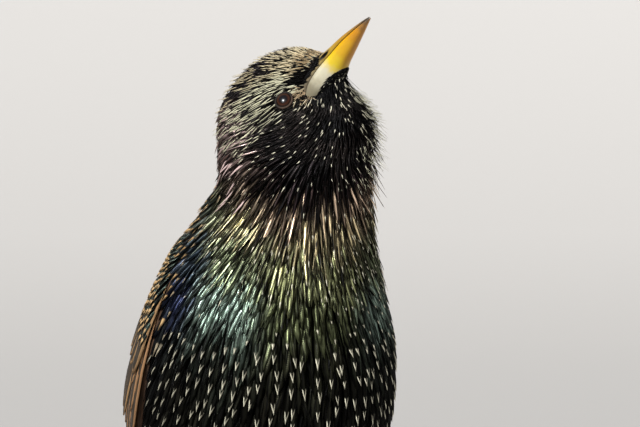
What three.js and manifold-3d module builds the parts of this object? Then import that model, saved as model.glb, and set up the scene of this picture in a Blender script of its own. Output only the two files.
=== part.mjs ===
// A life-size common starling, standing on both feet with its neck stretched and its bill raised.
// Millimetres, +Z up. The bird faces -Y, and its own right side is towards -X.
import * as THREE from "three";
import { mergeVertices } from "three/addons/utils/BufferGeometryUtils.js";
import Module from "manifold-3d";

const wasm = await Module();
wasm.setup();

// Clearance that touching pieces keep.
const GAP = 0.3;
// Corners closer than this are one corner.
const SAME_PLACE = 1e-3;
const RIGHT = -1;
const LEFT = 1;
const SIDES = { right: RIGHT, left: LEFT };

// Pose of the head: turned to its left, bill raised, and cocked with the right side lower.
const HEAD_TURN = 13;
const HEAD_RAISE = 37;
const HEAD_TILT = 19;
const EYE_LEVEL = [5.7, -27, 169.8];

// Stations of the head's surface, from the bill's base backwards. Places are forward of the eyes,
// above them and to the right of the middle. Half is the half width, and sweep is how far the sides
// lie behind the straight line from back to belly.
const HEAD_STATIONS = [
  { back: [12.8, 5.2, 0], belly: [17.6, -3.6, 0], half: 5.6, sweep: 8.6 },
  { back: [10.5, 8.8, 0], belly: [13.9, -5.4, 0], half: 6.8, sweep: 7.6 },
  { back: [6.5, 13.2, 0], belly: [11.6, -8.8, 0.3], half: 8.5, sweep: 6.4 },
  { back: [1.0, 17.2, 0], belly: [10.3, -12.8, 1], half: 10.4, sweep: 5.2 },
  { back: [-5.6, 19.9, 0], belly: [8.2, -16.4, 2.4], half: 13.4, sweep: 4.0 },
  { back: [-13.4, 20.8, 0], belly: [4.8, -19.6, 5], half: 18.8, sweep: 2.0 },
];
// Stations of the neck and trunk, down to the root of the tail, in the bird's own frame.
const BODY_STATIONS = [
  { back: [-4.6, -2.0, 170.3], belly: [7.0, -43.5, 150.0], half: 20.4, cocked: 0.65 },
  { back: [-0.5, 1.8, 161.8], belly: [5.2, -42.5, 142.5], half: 20.8, cocked: 0.3 },
  { back: [2.6, 4.5, 151.5], belly: [3.6, -41.2, 133.5], half: 21.4, cocked: 0.1 },
  { back: [1.6, 9.0, 141.0], belly: [1.6, -41.8, 122.0], half: 24.2 },
  { back: [0.0, 15.0, 131.0], belly: [0.0, -43.2, 107.0], half: 29.3 },
  { back: [0.0, 22.0, 120.5], belly: [0.0, -41.8, 89.0], half: 33.5 },
  { back: [0.0, 30.0, 109.0], belly: [0.0, -34.0, 69.5], half: 35.4 },
  { back: [0.0, 38.0, 97.0], belly: [0.0, -19.0, 53.5], half: 34.2 },
  { back: [0.0, 45.5, 85.0], belly: [0.0, 2.0, 44.5], half: 29.5 },
  { back: [0.0, 52.0, 74.5], belly: [0.0, 24.0, 42.5], half: 22.0 },
  { back: [0.0, 58.0, 66.0], belly: [0.0, 43.0, 45.0], half: 14.0 },
  { back: [0.0, 63.0, 59.5], belly: [0.0, 57.0, 48.5], half: 9.0 },
];
// Stations of the closed tail, from just past its root to its tip.
const TAIL_STATIONS = [
  { back: [0.0, 70.0, 53.2], belly: [0.0, 66.0, 46.6], half: 9.6 },
  { back: [0.0, 77.2, 46.4], belly: [0.0, 74.5, 41.4], half: 10.4 },
  { back: [0.0, 84.5, 39.4], belly: [0.0, 82.4, 35.6], half: 11.2 },
  { back: [0.0, 91.8, 32.4], belly: [0.0, 90.2, 29.4], half: 12.0 },
  { back: [0.0, 99.0, 25.6], belly: [0.0, 97.8, 23.2], half: 12.6 },
  { back: [0.0, 105.6, 19.2], belly: [0.0, 104.8, 17.6], half: 12.4 },
];
// How square the body's sections are, where 2 is an ellipse.
const FULLNESS = 2.25;
// How much lower than the middle of the face its feathers stand back most, to bare the gape.
const GAPE = { drop: 0.6, stations: 3 };
// Throat hackles, in rows that start at a station and reach round the front from an angle to the
// same one on the other side. Lengths are in stations.
const HACKLE_ROWS = [
  { station: 5.35, from: 62, count: 15, length: 1.55 },
  { station: 6.3, from: 64, count: 16, length: 1.75 },
  { station: 7.2, from: 70, count: 16, length: 1.9 },
  { station: 8.05, from: 96, count: 13, length: 1.95 },
];
const HACKLE_HALF_WIDTH = 2.1;
const HACKLE_THICKNESS = 0.6;
const NECK_START = 4.8;
const NECK_END = 8.8;
const TAIL_START = HEAD_STATIONS.length + BODY_STATIONS.length - 1;
const TAIL_TIP = TAIL_START + TAIL_STATIONS.length;

// Eyes, by their place on the side of the head and how far their middle lies under it.
const EYE = { radius: 3.4, station: 2.86, angle: 91, sunk: 2.1 };
// The lids are a ring round the eye, half sunk in the side of the head.
const LID = { radius: 2.85, halfThick: 0.7, lift: 0.1 };

// Bill, in the head's frame. Ridge and keel are the top and bottom lines of its sections.
const BILL_SECTIONS = [
  { forward: 3.5, ridge: 5.2, mouth: -0.4, keel: -4.6, half: 5.6 },
  { forward: 7.5, ridge: 5.5, mouth: 1.0, keel: -4.8, half: 5.5 },
  { forward: 12.5, ridge: 5.2, mouth: 1.8, keel: -4.4, half: 4.2 },
  { forward: 19.0, ridge: 4.0, mouth: 1.7, keel: -3.2, half: 3.0 },
  { forward: 25.0, ridge: 2.9, mouth: 1.3, keel: -2.5, half: 2.4 },
  { forward: 31.0, ridge: 1.4, mouth: 0.45, keel: -1.8, half: 1.55 },
  { forward: 35.0, ridge: 0.3, mouth: -0.3, keel: -1.3, half: 0.8 },
  { forward: 37.0, ridge: -0.4, mouth: -0.75, keel: -1.1, half: 0.25 },
];

// Tail feathers, from the middle pair outwards, and the coverts at their roots.
const RECTRIX = { pairs: 6, spread: 1.75, drop: 0.38, halfWidth: 2.5, thick: 0.6 };
const TAIL_COVERT = { count: 5, halfWidth: 2.4, thick: 0.6, lift: -0.35, spread: 38, length: 2.3 };

// The nostril is a slit in the side of the upper bill.
const NOSTRIL = { forward: 16.6, up: 3.0, right: 2.9, halfLength: 2.0, halfHeight: 0.55, depth: 0.7 };

// Legs, given for the left one and mirrored for the right one. The heel is the joint where the
// feathered thigh meets the bare tarsus.
const THIGH = { path: [[13, -3, 56], [15, 4.5, 45]], radii: [9, 7] };
const HEEL = { place: [16, 14, 31.6], slope: -25, halfWidth: 1.8, halfDepth: 2.3 };
const TARSUS = [
  { place: [16, 13.6, 29.6], halfWidth: 1.75, halfDepth: 2.1 },
  { place: [16.1, 12.0, 25], halfWidth: 1.2, halfDepth: 1.6 },
  { place: [16.4, 7.2, 11], halfWidth: 1.15, halfDepth: 1.5 },
  { place: [16.5, 5.6, 6], halfWidth: 1.6, halfDepth: 1.7 },
  { place: [16.5, 4.8, 1.2], halfWidth: 1.6, halfDepth: 1.7 },
];
const TOES = [
  { name: "inner", bearing: -26, length: 14.5, claw: 5.5 },
  { name: "middle", bearing: 3, length: 19.5, claw: 6.0 },
  { name: "outer", bearing: 30, length: 15, claw: 5.5 },
  { name: "hind", bearing: 176, length: 11.5, claw: 8.0 },
];
const TOE_ROOT = [16.5, 4.6];
const TOE_HALF_WIDTH = 1.3;
const TOE_HEIGHT = 2.6;
const PAD_RADIUS = 2.6;
const PAD_HEIGHT = 4.2;

const point = (x, y, z) => new THREE.Vector3(x, y, z);
const radians = THREE.MathUtils.degToRad;
const mix = THREE.MathUtils.lerp;
const range = (count) => Array.from({ length: count }, (_, i) => i);

const headForward = point(
  Math.cos(radians(HEAD_RAISE)) * Math.sin(radians(HEAD_TURN)),
  -Math.cos(radians(HEAD_RAISE)) * Math.cos(radians(HEAD_TURN)),
  Math.sin(radians(HEAD_RAISE)),
);
const headRight = point(-Math.cos(radians(HEAD_TURN)), -Math.sin(radians(HEAD_TURN)), 0)
  .applyAxisAngle(headForward, radians(HEAD_TILT));
const headUp = headRight.clone().cross(headForward);

// A place in the head, from how far it is forward of the eyes, above them and to the bird's right.
function inHead(forward, up, right = 0) {
  return point(...EYE_LEVEL)
    .addScaledVector(headForward, forward)
    .addScaledVector(headUp, up)
    .addScaledVector(headRight, right);
}

const stations = [
  ...HEAD_STATIONS.map(({ back, belly, half, sweep }) => ({
    back: inHead(...back),
    belly: inHead(...belly),
    half: headRight.clone().multiplyScalar(half),
    sweep: headForward.clone().multiplyScalar(-sweep),
  })),
  ...[...BODY_STATIONS, ...TAIL_STATIONS].map(({ back, belly, half, cocked = 0 }) => ({
    back: point(...back),
    belly: point(...belly),
    half: point(RIGHT, 0, 0).lerp(headRight, cocked).setLength(half),
    sweep: point(0, 0, 0),
  })),
];
const stationCurve = (key) =>
  new THREE.CatmullRomCurve3(stations.map((station) => station[key]), false, "catmullrom", 0.5);
const backCurve = stationCurve("back");
const bellyCurve = stationCurve("belly");
const halfCurve = stationCurve("half");
const sweepCurve = stationCurve("sweep");

// The section of the body at a station, which need not be whole, grown outwards by some millimetres.
function section(station, grow = 0) {
  const at = station / (stations.length - 1);
  const back = backCurve.getPoint(at);
  const centre = back.clone().add(bellyCurve.getPoint(at)).multiplyScalar(0.5);
  const up = back.sub(centre);
  const right = halfCurve.getPoint(at);
  return {
    centre,
    up: up.setLength(up.length() + grow),
    right: right.setLength(right.length() + grow),
    sweep: sweepCurve.getPoint(at),
  };
}

// A point on the body. The angle runs from the back over the bird's right side, in degrees.
function onBody(station, angle, grow = 0) {
  const { centre, up, right, sweep } = section(station, grow);
  const fuller = (value) => Math.sign(value) * Math.abs(value) ** (2 / FULLNESS);
  const sideways = Math.sin(radians(angle));
  const upwards = Math.cos(radians(angle));
  const drop = GAPE.drop * Math.max(0, 1 - station / GAPE.stations);
  return centre
    .addScaledVector(up, fuller(upwards))
    .addScaledVector(right, fuller(sideways))
    .addScaledVector(sweep, (sideways * (1 - drop * upwards)) ** 2);
}

// Makes a solid from corner points and the triangles between them, and turns it right side out.
function solidFrom(corners, triangles) {
  const vertProperties = new Float32Array(corners.flatMap((p) => [p.x, p.y, p.z]));
  const build = (faces) =>
    new wasm.Manifold(
      new wasm.Mesh({ numProp: 3, vertProperties, triVerts: new Uint32Array(faces.flat()) }),
    );
  const made = build(triangles);
  return made.volume() > 0 ? made : build(triangles.map(([a, b, c]) => [a, c, b]));
}

// A closed solid through rings of points, each end closed by a fan to its middle. Rings that come
// round on themselves need no ends.
function loft(rings, comesRound = false) {
  const around = rings[0].length;
  const corners = rings.flat();
  const triangles = [];
  const at = (ring, i) => (ring % rings.length) * around + (i % around);
  for (const ring of range(rings.length - (comesRound ? 0 : 1))) {
    for (const i of range(around)) {
      triangles.push([at(ring, i), at(ring, i + 1), at(ring + 1, i + 1)]);
      triangles.push([at(ring, i), at(ring + 1, i + 1), at(ring + 1, i)]);
    }
  }
  for (const ring of comesRound ? [] : [0, rings.length - 1]) {
    const middle = point(0, 0, 0);
    rings[ring].forEach((p) => middle.addScaledVector(p, 1 / around));
    corners.push(middle);
    for (const i of range(around)) {
      const rim = [at(ring, i + 1), at(ring, i)];
      triangles.push([...(ring ? rim.reverse() : rim), corners.length - 1]);
    }
  }
  return solidFrom(corners, triangles);
}

// A thin flat vane or lock through places that give its middle, its way across, its outer way, its
// half width and its thickness. Both faces are split into triangles alike.
function vane(places) {
  const corners = places.flatMap(({ place, across, out, halfWidth, thick }) =>
    [[-1, 1], [1, 1], [1, -1], [-1, -1]].map(([sideways, outwards]) =>
      place
        .clone()
        .addScaledVector(across, sideways * halfWidth)
        .addScaledVector(out, (outwards * thick) / 2),
    ),
  );
  const triangles = [[0, 3, 2], [0, 2, 1]];
  for (const i of range(places.length - 1)) {
    const [a, b, c, d] = [0, 1, 2, 3].map((k) => 4 * i + k);
    triangles.push([a, b, b + 4], [a, b + 4, a + 4], [d, c + 4, c], [d, d + 4, c + 4]);
    triangles.push([b, c, c + 4], [b, c + 4, b + 4], [d, a, a + 4], [d, a + 4, d + 4]);
  }
  const [a, b, c, d] = [4, 3, 2, 1].map((k) => 4 * places.length - k);
  triangles.push([a, c, d], [a, b, c]);
  return solidFrom(corners, triangles);
}

// The place, the way across and the outer way at a point of a surface given by two numbers and a lift.
function frameOn(surface, first, second, lift) {
  const STEP = 0.01;
  const place = surface(first, second, lift);
  const along = surface(first + STEP, second, lift).sub(place).normalize();
  const outer = surface(first, second, lift + 1).sub(place);
  const across = surface(first, second + STEP, lift).sub(place).normalize();
  const out = along.clone().cross(across).normalize();
  if (out.dot(outer) < 0) out.negate();
  return { place, across: out.clone().cross(along).normalize(), out };
}

// The body between two stations. An end that meets a neighbour stops short by half a gap.
function bodyBetween(start, end, steps, around, { grow = 0, meets = [true, true] } = {}) {
  const rings = range(steps + 1).map((step) =>
    range(around).map((i) => onBody(mix(start, end, step / steps), (360 * i) / around, grow)),
  );
  const middles = [start, (start + end) / 2, end].map((station) => section(station).centre);
  [rings[0], rings[steps]].forEach((ring, last) => {
    if (!meets[last]) return;
    const { up, right } = section(last ? end : start);
    const inwards = up.cross(right).normalize();
    if (inwards.dot(middles[1].clone().sub(middles[last * 2])) < 0) inwards.negate();
    ring.forEach((p) => p.addScaledVector(inwards, GAP / 2));
  });
  return loft(rings);
}

// Rings round a path. Each place has a half width, a half depth, and the way the ring faces where
// that isn't along the path. None reaches below the floor.
function ringsAlong(places, around, across, grow = 0) {
  return places.map(({ place, halfWidth, halfDepth, faces }, i) => {
    const from = places[Math.max(i - 1, 0)].place;
    const to = places[Math.min(i + 1, places.length - 1)].place;
    const ahead = faces ?? to.clone().sub(from).normalize();
    const high = ahead.clone().cross(across).normalize();
    const wide = high.clone().cross(ahead);
    return range(around).map((k) => {
      const turn = (2 * Math.PI * (k + 0.5)) / around;
      const corner = place
        .clone()
        .addScaledVector(wide, (halfWidth + grow) * Math.cos(turn))
        .addScaledVector(high, (halfDepth + grow) * Math.sin(turn));
      return corner.setZ(Math.max(corner.z, 0));
    });
  });
}

// Seeded chance, so that the feathers vary alike in every run.
let seed = 20;
function chance(low, high) {
  seed = (seed * 16807) % 2147483647;
  return mix(low, high, seed / 2147483647);
}

const pieces = [];
function add(name, solid, look) {
  pieces.push({ name, solid, look });
}

const PLUMAGE = { colour: "#171b1a", roughness: 0.4, metalness: 0.3 };
const WING_PLUMAGE = { colour: "#4a3a2c", roughness: 0.55 };
const BILL_HORN = { colour: "#e8b23a", roughness: 0.35 };
const EYE_GLOSS = { colour: "#1c120c", roughness: 0.05 };
const LEG_SKIN = { colour: "#a0644a", roughness: 0.6 };
const CLAW_HORN = { colour: "#3a2a22", roughness: 0.4 };

// Bill. Each jaw runs from inside the head to its tip, and the mouth line is the gap between them.
function jaw(upper, grow = 0) {
  const AROUND = 12;
  const last = BILL_SECTIONS.length - 1;
  const rings = BILL_SECTIONS.map(({ forward, ridge, mouth, keel, half }, i) => {
    const way = upper ? 1 : -1;
    const span = Math.abs((upper ? ridge : keel) - mouth) - GAP / 2 + 2 * grow;
    const ahead = forward + grow * ((i === last) - (i === 0));
    return range(AROUND + 1).map((k) => {
      const turn = (Math.PI * k) / AROUND;
      const rise = GAP / 2 - grow + span * Math.sin(turn);
      return inHead(ahead, mouth + way * rise, (half + grow) * Math.cos(turn));
    });
  });
  return loft(rings);
}

// A ball stretched along the head's three ways.
function headBall(centre, [forward, up, right], detail = 1) {
  const stretch = new THREE.Matrix4().makeBasis(
    headForward.clone().multiplyScalar(forward),
    headUp.clone().multiplyScalar(up),
    headRight.clone().multiplyScalar(right),
  );
  const shape = new THREE.IcosahedronGeometry(1, detail);
  const corners = [];
  const known = new Map();
  const triangles = [];
  const positions = shape.getAttribute("position");
  for (const i of range(positions.count)) {
    const p = point(0, 0, 0).fromBufferAttribute(positions, i);
    const key = [p.x, p.y, p.z].map((value) => value.toFixed(4)).join();
    if (!known.has(key)) known.set(key, corners.push(p.applyMatrix4(stretch).add(centre)) - 1);
    if (i % 3 === 0) triangles.push([]);
    triangles[triangles.length - 1].push(known.get(key));
  }
  return solidFrom(corners, triangles);
}

function ball(centre, radius) {
  return headBall(centre, [radius, radius, radius], 2);
}

const jaws = { upper: jaw(true), lower: jaw(false) };
for (const sign of Object.values(SIDES)) {
  const { forward, up, right, halfLength, halfHeight, depth } = NOSTRIL;
  const slit = headBall(inHead(forward, up, -sign * right), [halfLength, halfHeight, depth]);
  jaws.upper = jaws.upper.subtract(slit);
}
const billRoom = jaw(true, GAP).add(jaw(false, GAP));

// Where an eye looks out of the head: the middle of its opening, and the way out of it.
const eyePlaces = Object.fromEntries(
  Object.entries(SIDES).map(([side, sign]) => {
    return [side, frameOn(onBody, EYE.station, -sign * EYE.angle, 0)];
  }),
);
function lids({ place, across, out }) {
  const AROUND = 16;
  const upwards = out.clone().cross(across);
  const rings = range(AROUND).map((i) => {
    const turn = (2 * Math.PI * i) / AROUND;
    const away = across.clone().multiplyScalar(Math.cos(turn)).addScaledVector(upwards, Math.sin(turn));
    return range(5).map((k) => {
      const round = (2 * Math.PI * (k + 0.25)) / 5;
      return place
        .clone()
        .addScaledVector(away, LID.radius + LID.halfThick * Math.cos(round))
        .addScaledVector(out, LID.lift + LID.halfThick * Math.sin(round));
    });
  });
  return loft(rings, true);
}
let head = bodyBetween(0, NECK_START, 12, 28, { meets: [false, true] }).subtract(billRoom);
for (const [side, opening] of Object.entries(eyePlaces)) {
  const centre = opening.place.clone().addScaledVector(opening.out, -EYE.sunk);
  head = head.add(lids(opening)).subtract(ball(centre, EYE.radius + GAP));
  add(`eye_${side}`, ball(centre, EYE.radius), EYE_GLOSS);
}
add("head", head, PLUMAGE);
add("bill_upper", jaws.upper, BILL_HORN);
add("bill_lower", jaws.lower, BILL_HORN);

// The body's surface with its angle in steps of ten degrees, so that both numbers change alike.
const TEN = 10;
const skin = (station, tens, lift) => onBody(station, tens * TEN, lift);

// Throat hackles: long narrow locks in rows down the front and sides of the neck.
function hackle(station, angle, length, lean) {
  const shape = [
    { t: 0, width: 0.7, lift: -0.6 },
    { t: 0.5, width: 1, lift: 0.9 },
    { t: 1, width: 0.2, lift: 1.1 + lean },
  ];
  return vane(
    shape.map(({ t, width, lift }) => ({
      ...frameOn(skin, station + length * t, angle / TEN, lift),
      halfWidth: HACKLE_HALF_WIDTH * width,
      thick: HACKLE_THICKNESS,
    })),
  );
}
let neck = bodyBetween(NECK_START, NECK_END, 6, 26);
HACKLE_ROWS.forEach(({ station, from, count, length }, row) => {
  for (const i of range(count)) {
    const spread = (i + 0.5 + (row % 2 ? 0.25 : -0.25)) / count;
    const angle = mix(from, 360 - from, spread);
    const side = Math.abs(angle - 180) / (180 - from);
    const long = length * (1 - 0.3 * side) * chance(0.92, 1.08);
    neck = neck.add(hackle(station + chance(-0.06, 0.06), angle, long, chance(0, 0.9)));
  }
});
const torso = (options) => bodyBetween(NECK_END, TAIL_START, 14, 28, options);
const tail = (options) => bodyBetween(TAIL_START, TAIL_TIP, 8, 24, options);
add("torso", torso(), PLUMAGE);
const grown = { grow: GAP, meets: [false, false] };
const trunkRoom = torso(grown).add(tail(grown));

// Tail: a fleshy root that carries overlapping vanes and coverts above and below.
function onTail(station, across, height) {
  const { centre, up, right } = section(station);
  return centre
    .addScaledVector(right.normalize(), across)
    .addScaledVector(up.normalize(), height);
}
function tailVane(shape, halfWidth, thick) {
  return vane(
    shape.map(({ station, across, height, width }) => ({
      ...frameOn(onTail, station, across, height),
      halfWidth: halfWidth * width,
      thick,
    })),
  );
}
// A feather of the tail's fan, each one under the one before, the left ones under the right ones.
function quill(sign, rank) {
  const { spread, drop, halfWidth, thick } = RECTRIX;
  const lower = drop * (sign === LEFT ? rank + 0.45 : rank);
  const level = section(TAIL_TIP).up.length() - thick / 2 - lower;
  const tip = TAIL_TIP - 0.3 + 0.05 * rank;
  const away = (start, share) => sign * (start + share * spread * rank);
  const shape = [
    { station: TAIL_START + 0.5, across: away(0, 0.5), height: 1.2 - lower / 2, width: 0.65 },
    { station: TAIL_START + 1.6, across: away(1, 0.75), height: 1.2 - lower, width: 0.85 },
    { station: mix(TAIL_START, tip, 0.55), across: away(1.3, 0.9), height: 1 - lower, width: 1 },
    { station: tip - 0.65, across: away(1.6, 1), height: level, width: 1 },
    { station: tip, across: away(1.6, 1), height: level, width: 0.45 },
  ];
  return tailVane(shape, halfWidth, thick);
}
function tailCovert(angle, reach) {
  const shape = [
    { t: 0.12, sunk: 1.4, width: 0.6 },
    { t: 0.45, sunk: 0, width: 1 },
    { t: 0.85, sunk: 0, width: 0.8 },
    { t: 1, sunk: 0, width: 0.3 },
  ];
  return vane(
    shape.map(({ t, sunk, width }) => ({
      ...frameOn(skin, TAIL_START + reach * t, angle / TEN, TAIL_COVERT.lift - sunk),
      halfWidth: TAIL_COVERT.halfWidth * width,
      thick: TAIL_COVERT.thick,
    })),
  );
}
let feathered = bodyBetween(TAIL_START, TAIL_START + 1.1, 2, 20, { grow: -0.8, meets: [true, false] });
for (const sign of Object.values(SIDES)) {
  for (const rank of range(RECTRIX.pairs)) feathered = feathered.add(quill(sign, rank));
}
for (const i of range(TAIL_COVERT.count)) {
  const lean = mix(-1, 1, i / (TAIL_COVERT.count - 1));
  const length = TAIL_COVERT.length - 0.7 * lean * lean;
  feathered = feathered
    .add(tailCovert(TAIL_COVERT.spread * lean, length))
    .add(tailCovert(180 + TAIL_COVERT.spread * lean, length + 0.4));
}
add("tail", feathered, WING_PLUMAGE);
add("neck", neck.subtract(torso(grown)), PLUMAGE);

// Folded wings, given for the right side by station and angle on the body and the tail. Lift is how
// far the outer face lies above them.
const WING_EDGES = [
  { lower: [9.7, 74], upper: [9.3, 52], lift: 0.7 },
  { lower: [10.5, 81], upper: [10.2, 38], lift: 1.1 },
  { lower: [11.6, 86], upper: [11.3, 31], lift: 1.7 },
  { lower: [12.8, 90], upper: [12.5, 29], lift: 2.3 },
  { lower: [14.0, 93], upper: [13.8, 28], lift: 2.7 },
  { lower: [15.3, 91], upper: [15.2, 27], lift: 2.9 },
  { lower: [16.6, 83], upper: [16.5, 24], lift: 2.9 },
  { lower: [18.2, 70], upper: [18.2, 20], lift: 2.4 },
  { lower: [20.3, 48], upper: [20.1, 24], lift: 1.8 },
];
const WING_CORE = { end: 0.72, sunk: 0.4 };
const FEATHER_THICKNESS = 0.6;
// Tiers of a wing, the lowest first. Places are along the wing and from its lower edge to its upper
// one, from the tier's first feather to its last.
const WING_TIERS = [
  {
    name: "primaries",
    count: 5,
    rootAlong: [0.3, 0.42],
    rootAcross: [0.05, 0.35],
    tipAlong: [1.0, 0.76],
    tipAcross: [0.5, 0.62],
    rise: [-0.9, -0.1],
    halfWidth: [2.4, 3.4],
    drawn: 0.12,
  },
  {
    name: "secondaries",
    count: 4,
    rootAlong: [0.34, 0.4],
    rootAcross: [0.22, 0.72],
    tipAlong: [0.66, 0.7],
    tipAcross: [0.3, 0.72],
    rise: [-0.35, 0.5],
    halfWidth: [5.0, 5.6],
    drawn: 0.12,
  },
  {
    name: "tertials",
    count: 3,
    rootAlong: [0.34, 0.3],
    rootAcross: [0.78, 0.93],
    tipAlong: [0.66, 0.52],
    tipAcross: [0.8, 0.92],
    rise: [0.45, 0.9],
    halfWidth: [5.2, 4.6],
    drawn: 0.22,
  },
  {
    name: "primary coverts",
    count: 3,
    rootAlong: [0.16, 0.2],
    rootAcross: [0.06, 0.28],
    tipAlong: [0.42, 0.37],
    tipAcross: [0.08, 0.3],
    rise: [0.0, 0.35],
    halfWidth: [3.0, 3.2],
    drawn: 0.2,
  },
  {
    name: "greater coverts",
    count: 6,
    rootAlong: [0.2, 0.22],
    rootAcross: [0.2, 0.95],
    tipAlong: [0.4, 0.38],
    tipAcross: [0.24, 0.93],
    rise: [0.3, 0.9],
    halfWidth: [3.8, 4.6],
    drawn: 0.2,
  },
  {
    name: "median coverts",
    count: 6,
    rootAlong: [0.1, 0.12],
    rootAcross: [0.1, 0.95],
    tipAlong: [0.25, 0.26],
    tipAcross: [0.12, 0.94],
    rise: [0.7, 1.1],
    halfWidth: [4.2, 4.8],
    drawn: 0.3,
  },
];
function wingCurve(key) {
  const places = WING_EDGES.map((edge) => point(...edge[key], edge.lift));
  return new THREE.CatmullRomCurve3(places, false, "catmullrom", 0.5);
}
const lowerCurve = wingCurve("lower");
const upperCurve = wingCurve("upper");
// A point on a folded wing, from 0 to 1 along it and from its lower edge to its upper one.
function onWing(sign, along, across, lift = 0) {
  const low = lowerCurve.getPoint(along);
  const place = low.lerp(upperCurve.getPoint(along), across);
  const rounding = mix(0.6, 1, Math.sqrt(Math.sin(Math.PI * across)));
  return onBody(place.x, -sign * place.y, place.z * rounding + lift);
}

// The wing without its quills: a thin slab from the wrist to where the quills leave it.
function wingCore(sign) {
  const STEPS = 11;
  const AROUND = 6;
  const rings = range(STEPS + 1).map((i) => {
    const along = (WING_CORE.end * i) / STEPS;
    const row = (lift) => range(AROUND + 1).map((k) => onWing(sign, along, k / AROUND, lift));
    return [...row(-WING_CORE.sunk), ...row(-4).reverse()];
  });
  return loft(rings);
}

// One feather of a tier, from its root to its tip. Drawn is the share of its length that tapers.
function wingFeather(sign, { root, tip, rise, halfWidth, drawn }) {
  const surface = (along, across, lift) => onWing(sign, along, across, lift);
  const length = tip[0] - root[0];
  const long = length > 0.25;
  const shape = [
    { t: 0, width: 0.65, lift: rise[0] },
    ...(long ? [{ t: 0.45, width: 1, lift: mix(rise[0], rise[1], 0.75) }] : []),
    { t: 1 - drawn, width: 1, lift: rise[1] },
    { t: 1, width: 0.35, lift: rise[1] },
  ];
  return vane(
    shape.map(({ t, width, lift }) => ({
      ...frameOn(surface, root[0] + length * t, mix(root[1], tip[1], t), lift),
      halfWidth: halfWidth * width,
      thick: FEATHER_THICKNESS,
    })),
  );
}
function wing(sign) {
  let whole = wingCore(sign);
  for (const tier of WING_TIERS) {
    for (const i of range(tier.count)) {
      const between = ([from, to]) => mix(from, to, i / (tier.count - 1));
      whole = whole.add(
        wingFeather(sign, {
          root: [between(tier.rootAlong), between(tier.rootAcross)],
          tip: [between(tier.tipAlong) + chance(-0.004, 0.004), between(tier.tipAcross)],
          rise: [tier.rise[0] - 1.2, between(tier.rise)],
          halfWidth: between(tier.halfWidth),
          drawn: tier.drawn,
        }),
      );
    }
  }
  return whole;
}

const mirrored = (solid, sign) => (sign === LEFT ? solid : solid.mirror([1, 0, 0]));
for (const [side, sign] of Object.entries(SIDES)) {
  add(`wing_${side}`, wing(sign).subtract(trunkRoom), WING_PLUMAGE);
}

// Legs: a feathered thigh, a bare tarsus, a foot of four toes, and a claw for each toe.
const acrossLeg = point(1, 0, 0);
const heelWay = point(0, -Math.sin(radians(HEEL.slope)), -Math.cos(radians(HEEL.slope)));
const heelPlace = point(...HEEL.place);
const heelRing = (away) => ({
  place: heelPlace.clone().addScaledVector(heelWay, away * GAP * 0.5),
  halfWidth: HEEL.halfWidth,
  halfDepth: HEEL.halfDepth,
  faces: heelWay,
});

function thigh() {
  const above = THIGH.path.map((place, i) => ({
    place: point(...place),
    halfWidth: THIGH.radii[i],
    halfDepth: THIGH.radii[i],
  }));
  return loft(ringsAlong([...above, heelRing(-1)], 16, acrossLeg));
}

function toe({ bearing, length }, grow = 0) {
  const STEPS = 4;
  const way = point(Math.sin(radians(bearing)), -Math.cos(radians(bearing)), 0);
  const places = range(STEPS + 1).map((i) => {
    const swell = (i % 2 ? 0.9 : 1.06) * mix(1.1, 0.8, i / STEPS);
    const halfDepth = (TOE_HEIGHT / 2) * swell;
    return {
      place: point(...TOE_ROOT, halfDepth * 0.86).addScaledVector(way, (length * i) / STEPS),
      halfWidth: TOE_HALF_WIDTH * swell,
      halfDepth,
      faces: way,
    };
  });
  return loft(ringsAlong(places, 7, way.clone().cross(point(0, 0, 1)), grow));
}

function foot(grow = 0) {
  const pad = [0, 0.6, 1].map((t) => ({
    place: point(...TOE_ROOT, PAD_HEIGHT * t + (t ? grow : 0)),
    halfWidth: PAD_RADIUS * mix(1, 0.7, t),
    halfDepth: PAD_RADIUS * mix(1, 0.7, t),
    faces: point(0, 0, 1),
  }));
  let whole = loft(ringsAlong(pad, 10, acrossLeg, grow));
  TOES.forEach((each) => (whole = whole.add(toe(each, grow))));
  return whole;
}

function tarsus() {
  const below = TARSUS.map(({ place, ...size }) => ({ place: point(...place), ...size }));
  return loft(ringsAlong([heelRing(1), ...below], 10, acrossLeg)).subtract(foot(GAP));
}

function claw({ bearing, length, claw: clawLength }) {
  const way = point(Math.sin(radians(bearing)), -Math.cos(radians(bearing)), 0);
  const shape = [
    { t: 0, rise: 1.0, size: 0.85 },
    { t: 0.3, rise: 1.25, size: 0.75 },
    { t: 0.65, rise: 1.05, size: 0.5 },
    { t: 1, rise: 0.3, size: 0.18 },
  ];
  const places = shape.map(({ t, rise, size }) => ({
    place: point(...TOE_ROOT, rise).addScaledVector(way, length + GAP + clawLength * t),
    halfWidth: size * 0.85,
    halfDepth: size,
    faces: way,
  }));
  return loft(ringsAlong(places, 8, way.clone().cross(point(0, 0, 1))));
}

for (const [side, sign] of Object.entries(SIDES)) {
  add(`thigh_${side}`, mirrored(thigh(), sign).subtract(trunkRoom), PLUMAGE);
  add(`tarsus_${side}`, mirrored(tarsus(), sign), LEG_SKIN);
  add(`foot_${side}`, mirrored(foot(), sign), LEG_SKIN);
  for (const each of TOES) add(`claw_${each.name}_${side}`, mirrored(claw(each), sign), CLAW_HORN);
}

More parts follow.
